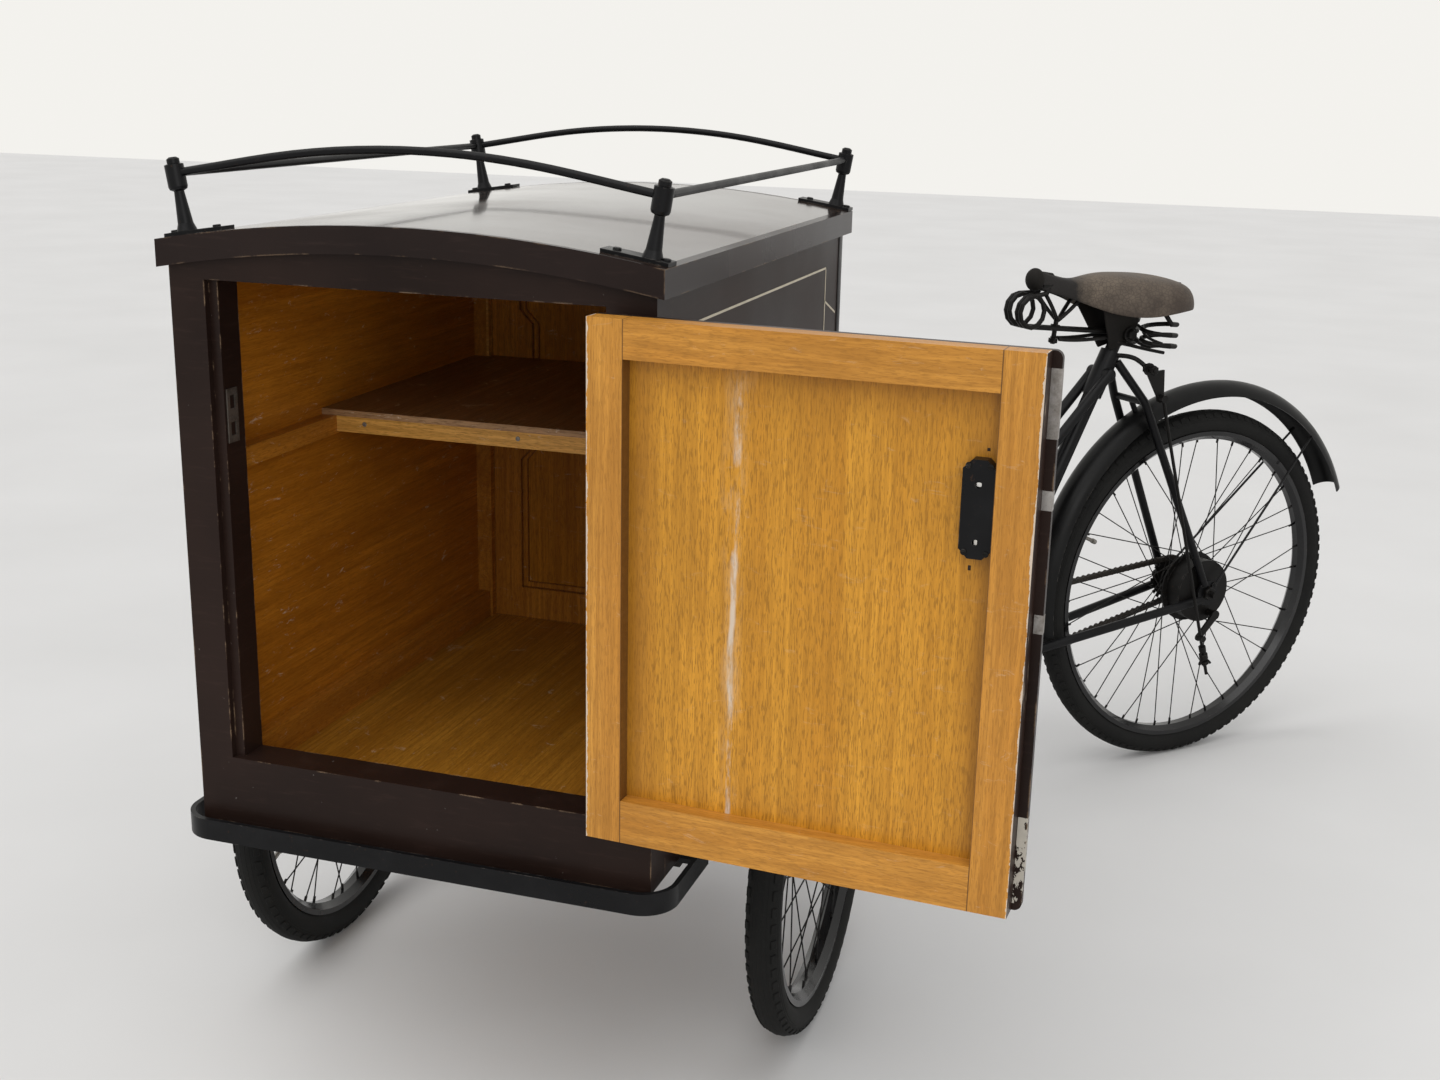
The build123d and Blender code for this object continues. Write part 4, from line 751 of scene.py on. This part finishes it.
barPlate = {"aside": 0.120, "step": 0.014, "up": 0.920}
for side in (-1, 1):
    for y in rackFoot["backs"]:
        for step in rackFoot["inward"]:
            x = side * (rackFoot["aside"] - step)
            drop = rackFoot["arc"] - math.sqrt(rackFoot["arc"] ** 2 - x ** 2)
            nutSets["rackBolts"]["at"].append(
                (boxPoint(x, y, rackFoot["crown"] - drop), boxWay(x / rackFoot["arc"], 0, 1)))
    for y in springSeat["backs"]:
        for step in (-springSeat["step"], springSeat["step"]):
            x = side * springSeat["aside"] + step
            nutSets["chassisBolts"]["at"].append((boxPoint(x, y, springSeat["up"]), boxWay(0, 0, -1)))
    for z in headPlate["heights"]:
        nutSets["bracketBolts"]["at"].append(
            (boxPoint(side * headPlate["aside"], box["rearFace"], z), boxWay(0, 1, 0)))
    for step in (-barPlate["step"], barPlate["step"]):
        x = side * barPlate["aside"] + step
        nutSets["bracketBolts"]["at"].append(
            (boxPoint(x, box["rearFace"], barPlate["up"]), boxWay(0, 1, 0)))
for name, spec in nutSets.items():
    stud(*spec["size"])
    lay(spec["at"])
    settle(name, spec["body"], spec["look"])

screwHigh = 0.0014
hingeHeights = (0.504, 0.532, 0.560, 0.926, 0.954, 0.982)
screwSets = {
    "hingeScrewsFixed": {"body": "carriage", "look": "wirePaint", "radius": 0.0031, "at": [
        (boxPoint(0.252, -0.002, z), boxWay(0, -1, 0)) for z in hingeHeights]},
    "hingeScrewsDoor": {"body": "door", "look": "wirePaint", "radius": 0.0031, "at": [
        (doorPoint(0.212, -0.0023, z), doorWay(0, -1, 0)) for z in hingeHeights]},
    "keepScrews": {"body": "carriage", "look": "dullSteel", "radius": 0.0024, "at": [
        (boxPoint(-0.23145, 0.022, z), boxWay(1, 0, 0)) for z in (0.8445, 0.872, 0.8995)]},
    "lockScrews": {"body": "door", "look": "wirePaint", "radius": 0.0031, "at": [
        (doorPoint(x, 0.026, z), doorWay(0, 1, 0)) for x in (-0.184, -0.163) for z in (0.830, 0.914)]},
    "shelfScrews": {"body": "carriage", "look": "dullSteel", "radius": 0.0031, "at": [
        (boxPoint(x, 0.288, 0.811), boxWay(0, -1, 0)) for x in (-0.215, 0.0, 0.215)]},
}
for name, spec in screwSets.items():
    slottedStud(spec["radius"], screwHigh)
    lay(spec["at"])
    settle(name, spec["body"], spec["look"])
print("stage: nuts and screws")

# coachlines with notched corners on both sides, and the short stroke behind the left one

coachline = {"thick": 0.0004, "wide": 0.0028, "front": 0.085, "rear": 0.680, "top": 0.998, "low": 0.445,
             "notch": 0.046, "strokeEnd": (0.738, 0.930)}


def lineAcross(first, last, side):
    # one straight line on a side of the box, between (back, up) points
    half = coachline["wide"] / 2
    along = Vector((last[0] - first[0], last[1] - first[1]))
    pickNothing()
    bpy.ops.mesh.primitive_cube_add(size=1)
    strip = bpy.context.object
    pickFaces(strip, lambda face: True)
    bpy.ops.transform.resize(value=(coachline["thick"], along.length + 2 * half, 2 * half))
    bpy.ops.mesh.subdivide(number_cuts=3)
    bpy.ops.object.mode_set(mode="OBJECT")
    strip.rotation_euler.x = math.atan2(along.y, along.x)
    middle = ((first[0] + last[0]) / 2, (first[1] + last[1]) / 2)
    strip.location = boxPoint(side * (box["half"] + coachline["thick"] / 2), *middle)
    return strip


front, rear, top, low = (coachline[key] for key in ("front", "rear", "top", "low"))
frontIn, rearIn = front + coachline["notch"], rear - coachline["notch"]
topIn, lowIn = top - coachline["notch"], low + coachline["notch"]
corners = [(frontIn, top), (rear, top), (rear, topIn), (rear, lowIn), (rearIn, lowIn), (rearIn, low),
           (frontIn, low), (frontIn, lowIn), (front, lowIn), (front, topIn), (frontIn, topIn),
           (frontIn, top)]
for side, label in ((1, "Left"), (-1, "Right")):
    strips = [lineAcross(a, b, side) for a, b in zip(corners, corners[1:])]
    if side > 0:
        strips.append(lineAcross((rear, topIn), coachline["strokeEnd"], side))
    joinAll(strips)
    settle("coachline" + label, "carriage", "linePaint")

# blocks are pairs of opposite corners
trims = {
    "cornerStrips": {"body": "carriage", "look": "blackEnamel", "bevel": 0.0003, "place": boxPoint,
                     "blocks": [
        ((0.2872, 0.748, 0.376), (0.2886, 0.7659, 1.040)),
        ((-0.2886, 0.748, 0.376), (-0.2872, 0.7659, 1.040))]},
    "lipPatches": {"body": "door", "look": "tapeSilver", "bevel": 0.0002, "place": doorPoint, "blocks": [
        ((-0.2399, 0.0005, 0.942), (-0.2297, 0.0082, 1.008)),
        ((-0.2399, 0.0005, 0.874), (-0.2296, 0.0082, 0.893)),
        ((-0.2399, 0.0005, 0.753), (-0.2308, 0.0082, 0.772))]},
    "lockWorks": {"body": "door", "look": "brightSteel", "bevel": 0.0004, "place": doorPoint, "blocks": [
        ((-0.1762, 0.013, 0.8938), (-0.1708, 0.0245, 0.8982)),
        ((-0.1752, 0.013, 0.8373), (-0.1718, 0.0245, 0.8427))]},
    "panelPlugs": {"body": "door", "look": "plugDark", "bevel": 0.0002, "place": doorPoint, "blocks": [
        ((-0.1795, 0.0119, 0.926), (-0.1765, 0.01215, 0.929)),
        ((-0.168, 0.0119, 0.8085), (-0.165, 0.01215, 0.8135))]},
}
for name, spec in trims.items():
    joinAll([slab(low, high, spec["place"], spec["bevel"]) for low, high in spec["blocks"]])
    settle(name, spec["body"], spec["look"])
print("stage: coachlines and door trim")

# saddle leather: a flat grid drawn to its plan, crowned, given thickness and smoothed

saddle = {
    "name": "saddleCover", "thick": 0.0035,
    # distance behind the pivot, half width, top, lower edge
    "stations": [(0.705, 0.0060, 0.935, 0.916), (0.709, 0.0100, 0.939, 0.910), (0.718, 0.0130, 0.939, 0.906),
                 (0.740, 0.0150, 0.932, 0.900), (0.765, 0.0190, 0.925, 0.893),
                 (0.790, 0.0270, 0.924, 0.884), (0.815, 0.0380, 0.928, 0.874), (0.845, 0.0560, 0.931, 0.864),
                 (0.875, 0.0740, 0.931, 0.860), (0.905, 0.0880, 0.929, 0.861), (0.935, 0.0955, 0.927, 0.866),
                 (0.962, 0.0960, 0.924, 0.870), (0.984, 0.0890, 0.918, 0.871), (0.998, 0.0740, 0.908, 0.870),
                 (1.004, 0.0500, 0.896, 0.870)],
    # from the middle to the edge: share of the width, share of the drop
    "section": [(0.0, 0.0), (0.22, 0.01), (0.44, 0.035), (0.64, 0.085), (0.82, 0.18), (0.94, 0.42),
                (1.0, 0.75), (0.985, 1.0)],
}
sideColumns = len(saddle["section"]) - 1
rows = len(saddle["stations"]) - 1
pickNothing()
bpy.ops.mesh.primitive_grid_add(x_subdivisions=2 * sideColumns, y_subdivisions=rows, size=2)
leather = bpy.context.object
for vertex in leather.data.vertices:
    column = round((vertex.co.x + 1) * sideColumns) - sideColumns
    row = round((vertex.co.y + 1) / 2 * rows)
    behind, halfWidth, top, low = saddle["stations"][row]
    share, drop = saddle["section"][abs(column)]
    vertex.co = cyclePoint(math.copysign(share * halfWidth, column), behind, top - (top - low) * drop)
bpy.ops.object.mode_set(mode="EDIT")
bpy.ops.mesh.select_all(action="SELECT")
bpy.ops.mesh.normals_make_consistent(inside=False)
bpy.ops.object.mode_set(mode="OBJECT")
up = sum(face.normal.z for face in leather.data.polygons)
if up < 0:
    bpy.ops.object.mode_set(mode="EDIT")
    bpy.ops.mesh.flip_normals()
    bpy.ops.object.mode_set(mode="OBJECT")
wall = leather.modifiers.new("wall", "SOLIDIFY")
wall.thickness = saddle["thick"]
wall.offset = -1
bpy.ops.object.modifier_apply(modifier="wall")
rounding = leather.modifiers.new("rounding", "SUBSURF")
rounding.levels = 2
rounding.render_levels = 2
bpy.ops.object.modifier_apply(modifier="rounding")
settle(saddle["name"], "cycle", "saddleHide", 60)
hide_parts("saddle")

# nose knob: a ball drawn out, its rear faces pulled back into a neck

knob = {"at": (0.7045, 0.9248), "size": (0.0168, 0.0162, 0.0196), "neck": 0.024, "taper": 0.72}
pickNothing()
bpy.ops.mesh.primitive_uv_sphere_add(segments=28, ring_count=16, radius=1)
nose = bpy.context.object
pickFaces(nose, lambda face: True)
bpy.ops.transform.resize(value=knob["size"])
pickFaces(nose, lambda face: face.normal.y > 0.75)
bpy.ops.mesh.extrude_region_move(TRANSFORM_OT_translate={"value": (0, knob["neck"], 0)})
bpy.ops.transform.resize(value=(knob["taper"], 1, knob["taper"]))
bpy.ops.mesh.select_all(action="SELECT")
bpy.ops.mesh.normals_make_consistent(inside=False)
bpy.ops.object.mode_set(mode="OBJECT")
nose.rotation_euler.z = math.atan2(*reversed(cycleWay(1, 0, 0).to_2d()))
nose.location = cyclePoint(0, *knob["at"])
settle("saddleNose", "cycle", "blackHide", 50)

# flaps under the leather, the tension bolt at the nose, and the bent wires

flap = {"thick": 0.004, "bevel": 0.0012, "aside": 0.018, "flare": 0.3, "flareFrom": 0.806,
        "outline": [(0.826, 0.878), (0.908, 0.874), (0.914, 0.842), (0.898, 0.806), (0.866, 0.798),
                    (0.842, 0.846)]}
flaps = []
for side in (-1, 1):
    pickNothing()
    bpy.ops.mesh.primitive_circle_add(vertices=len(flap["outline"]), radius=0.01, fill_type="NGON")
    sheet = bpy.context.object
    for vertex, (behind, z) in zip(sheet.data.vertices, flap["outline"]):
        spread = flap["aside"] + flap["flare"] * max(0, z - flap["flareFrom"])
        vertex.co = cyclePoint(side * spread, behind, z)
    bpy.ops.object.mode_set(mode="EDIT")
    bpy.ops.mesh.select_all(action="SELECT")
    inward = cycleWay(-side, 0, 0) * flap["thick"]
    bpy.ops.mesh.extrude_region_move(TRANSFORM_OT_translate={"value": inward})
    bpy.ops.mesh.select_all(action="SELECT")
    bpy.ops.mesh.normals_make_consistent(inside=False)
    bpy.ops.mesh.bevel(offset=flap["bevel"], segments=2, affect="EDGES")
    bpy.ops.object.mode_set(mode="OBJECT")
    flaps.append(sheet)
joinAll(flaps)
settle("saddleFlaps", "cycle", "blackHide")


def pairedWires(wires):
    # each wire on both sides: its radius, then its points aside, behind the pivot and up
    return [wire([cyclePoint(side * aside, behind, z) for aside, behind, z in points], radius)
            for side in (-1, 1) for radius, points in wires]


tension = {
    "wires": [(0.0035, [(0.012, 0.722, 0.898), (0.011, 0.742, 0.872), (0, 0.758, 0.852)]),
              (0.0035, [(0.011, 0.796, 0.890), (0.010, 0.780, 0.872), (0, 0.759, 0.852)])],
    "bolt": (0.0042, 0.046, 12, 0.0008), "boltAt": (0.757, 0.858),
    "nut": (0.0085, 0.008, 6, 0.0012), "nutsAt": [(0.7525, 0.822), (0.7550, 0.846)],
}
boltWay = cycleWay(0, -0.12, -1)
parts = pairedWires(tension["wires"])
stud(*tension["bolt"])
parts.append(lay([(cyclePoint(0, *tension["boltAt"]), boltWay)]))
stud(*tension["nut"])
parts.append(lay([(cyclePoint(0, *at), boltWay) for at in tension["nutsAt"]]))
joinAll(parts)
settle("saddleTension", "cycle", "springSteel")

joinAll(pairedWires([
    (0.0030, [(0.018, 0.880, 0.812), (0.026, 0.920, 0.800), (0.036, 0.972, 0.790)]),
    (0.0026, [(0.010, 0.880, 0.834), (0.018, 0.905, 0.846), (0.024, 0.925, 0.838), (0.028, 0.935, 0.816),
              (0.034, 0.968, 0.806)]),
    (0.0034, [(0.016, 0.870, 0.822), (0.018, 0.800, 0.816), (0.010, 0.757, 0.822)]),
]))
settle("saddleWires", "cycle", "springSteel")
print("stage: saddle")

# chain: a pin end at each pitch of both straight runs; a wheel is (behind the pivot, up, radius)

chain = {"pitch": 0.0127, "line": -0.045, "ring": (0.6157, 0.262, 0.0728),
         "cog": (rearHub["behind"], rearHub["up"], 0.0404), "pinOut": 0.0042,
         "pin": (0.0056, 0.0084, 10, 0.0008)}
ringU, ringZ, ringR = chain["ring"]
cogU, cogZ, cogR = chain["cog"]
gap = math.hypot(cogU - ringU, cogZ - ringZ)
tilt = math.atan2(cogZ - ringZ, cogU - ringU)
wrap = math.asin((ringR - cogR) / gap)
spots = []
for side in (1, -1):
    turn = tilt + side * (math.pi / 2 + wrap)
    start = Vector((ringU + ringR * math.cos(turn), ringZ + ringR * math.sin(turn)))
    end = Vector((cogU + cogR * math.cos(turn), cogZ + cogR * math.sin(turn)))
    count = int((end - start).length / chain["pitch"])
    for k in range(count + 1):
        spot = start.lerp(end, k * chain["pitch"] / (end - start).length)
        spots.append((cyclePoint(chain["line"] - chain["pinOut"], spot.x, spot.y), cycleWay(1, 0, 0)))
stud(*chain["pin"])
lay(spots)
settle("chainLinks", "cycle", "chainSteel")

# brake rod: a collar and a wing nut on its lower end

rod = {"low": (0.074, 1.092, 0.252), "high": (0.074, 0.946, 0.716), "wing": 0.0026,
       # distance past the low end, then radius, height, sides and chamfer
       "nuts": [(0.050, (0.0075, 0.007, 6, 0.001)), (0.018, (0.0068, 0.012, 12, 0.002))],
       # distance past the low end, distance aside
       "wingPoints": [(0.046, 0), (0.048, 0.010), (0.056, 0.013)]}
rodEnd = cyclePoint(*rod["low"])
down = (rodEnd - cyclePoint(*rod["high"])).normalized()
parts = []
for past, size in rod["nuts"]:
    stud(*size)
    parts.append(lay([(rodEnd + down * past, down)]))
for side in (-1, 1):
    points = [rodEnd + down * past + cycleWay(0, 1, 0) * side * aside for past, aside in rod["wingPoints"]]
    parts.append(wire(points, rod["wing"]))
joinAll(parts)
settle("brakeNuts", "cycle", "wirePaint")

# bracket from the seat lug that carries the bell crank, with its pin and nut

bell = {"pinAt": (0.915, 0.769), "thick": 0.0042,
        "arm": [(0.008, 0.880, 0.786), (0.034, 0.897, 0.790), (0.052, 0.914, 0.776)], "armEnd": 0.060,
        "pin": (0.0047, 0.026, 16, 0.0006), "pinFrom": 0.058, "nut": (0.0088, 0.006, 6, 0.001),
        # distance aside, way it faces
        "nuts": [(0.0765, 1), (0.0625, -1)]}
points = [cyclePoint(*point) for point in bell["arm"] + [(bell["armEnd"], *bell["pinAt"])]]
parts = [wire(points, bell["thick"])]
stud(*bell["pin"])
parts.append(lay([(cyclePoint(bell["pinFrom"], *bell["pinAt"]), cycleWay(1, 0, 0))]))
stud(*bell["nut"])
parts.append(lay([(cyclePoint(aside, *bell["pinAt"]), cycleWay(way, 0, 0)) for aside, way in bell["nuts"]]))
joinAll(parts)
settle("bellBracket", "cycle", "wirePaint")
print("stage: chain and brake")

# floor, backdrop, light and camera

studio = {"floorWide": 30, "floorTones": ((0.67, 0.66, 0.64), (0.71, 0.7, 0.68)), "floorRough": 0.7,
          "lightTint": (0.96, 0.97, 1, 1), "light": 0.58, "backTint": (1, 0.985, 0.945, 1), "back": 0.9}
floorLook = newMaterial("floorLook")
floorCloud = noise(floorLook, place(floorLook), 1.5, 4, 0.5)
floorTint = blend(floorLook, grey(floorLook, floorCloud, 0.3, 0.7), *studio["floorTones"])
finishWith(floorLook, floorTint, studio["floorRough"])
bpy.ops.mesh.primitive_plane_add(size=studio["floorWide"], location=(0, 0, 0))
floor = bpy.context.object
floor.name = "floor"
floor.data.materials.append(floorLook["material"])

world = bpy.data.worlds.new("studio")
bpy.context.scene.world = world
world.use_nodes = True
worldTree = world.node_tree
soft = worldTree.nodes["Background"]
soft.inputs["Color"].default_value = studio["lightTint"]
soft.inputs["Strength"].default_value = studio["light"]
white = worldTree.nodes.new("ShaderNodeBackground")
white.inputs["Color"].default_value = studio["backTint"]
white.inputs["Strength"].default_value = studio["back"]
# the camera, glossy and transmission rays see the white, all others the softer light
rays = worldTree.nodes.new("ShaderNodeLightPath")
seen = worldTree.nodes.new("ShaderNodeMath")
seen.operation = "MAXIMUM"
seenToo = worldTree.nodes.new("ShaderNodeMath")
seenToo.operation = "MAXIMUM"
either = worldTree.nodes.new("ShaderNodeMixShader")
worldTree.links.new(rays.outputs["Is Camera Ray"], seen.inputs[0])
worldTree.links.new(rays.outputs["Is Glossy Ray"], seen.inputs[1])
worldTree.links.new(seen.outputs["Value"], seenToo.inputs[0])
worldTree.links.new(rays.outputs["Is Transmission Ray"], seenToo.inputs[1])
worldTree.links.new(seenToo.outputs["Value"], either.inputs["Fac"])
worldTree.links.new(soft.outputs["Background"], either.inputs[1])
worldTree.links.new(white.outputs["Background"], either.inputs[2])
worldTree.links.new(either.outputs["Shader"], worldTree.nodes["World Output"].inputs["Surface"])

lamps = [
    {"name": "ceiling", "kind": "SUN", "at": (-0.9, -1.7, 4.0), "aim": (0, 0, 0), "size": math.radians(70),
     "power": 1.6},
    {"name": "doorSide", "kind": "AREA", "at": (1.8, -3.6, 2.2), "aim": (0, 0, 0.7), "size": 2.4,
     "power": 34},
]
for spec in lamps:
    bpy.ops.object.light_add(type=spec["kind"], location=spec["at"])
    lamp = bpy.context.object
    lamp.name = spec["name"]
    lamp.data.energy = spec["power"]
    if spec["kind"] == "SUN":
        lamp.data.angle = spec["size"]
    else:
        lamp.data.size = spec["size"]
    lamp.rotation_euler = (Vector(spec["aim"]) - Vector(spec["at"])).to_track_quat("-Z", "Y").to_euler()

shot = {"at": (0.5556, -2.5021, 1.271), "turn": (1.29573, -0.02117, 0.31397), "lens": 42.5, "sensor": 36,
        "far": 60}
bpy.ops.object.camera_add(location=shot["at"], rotation=shot["turn"])
camera = bpy.context.object
camera.data.lens = shot["lens"]
camera.data.sensor_width = shot["sensor"]
camera.data.clip_end = shot["far"]
bpy.context.scene.camera = camera
bpy.context.scene.view_settings.view_transform = "Standard"
print("stage: floor, light and camera")
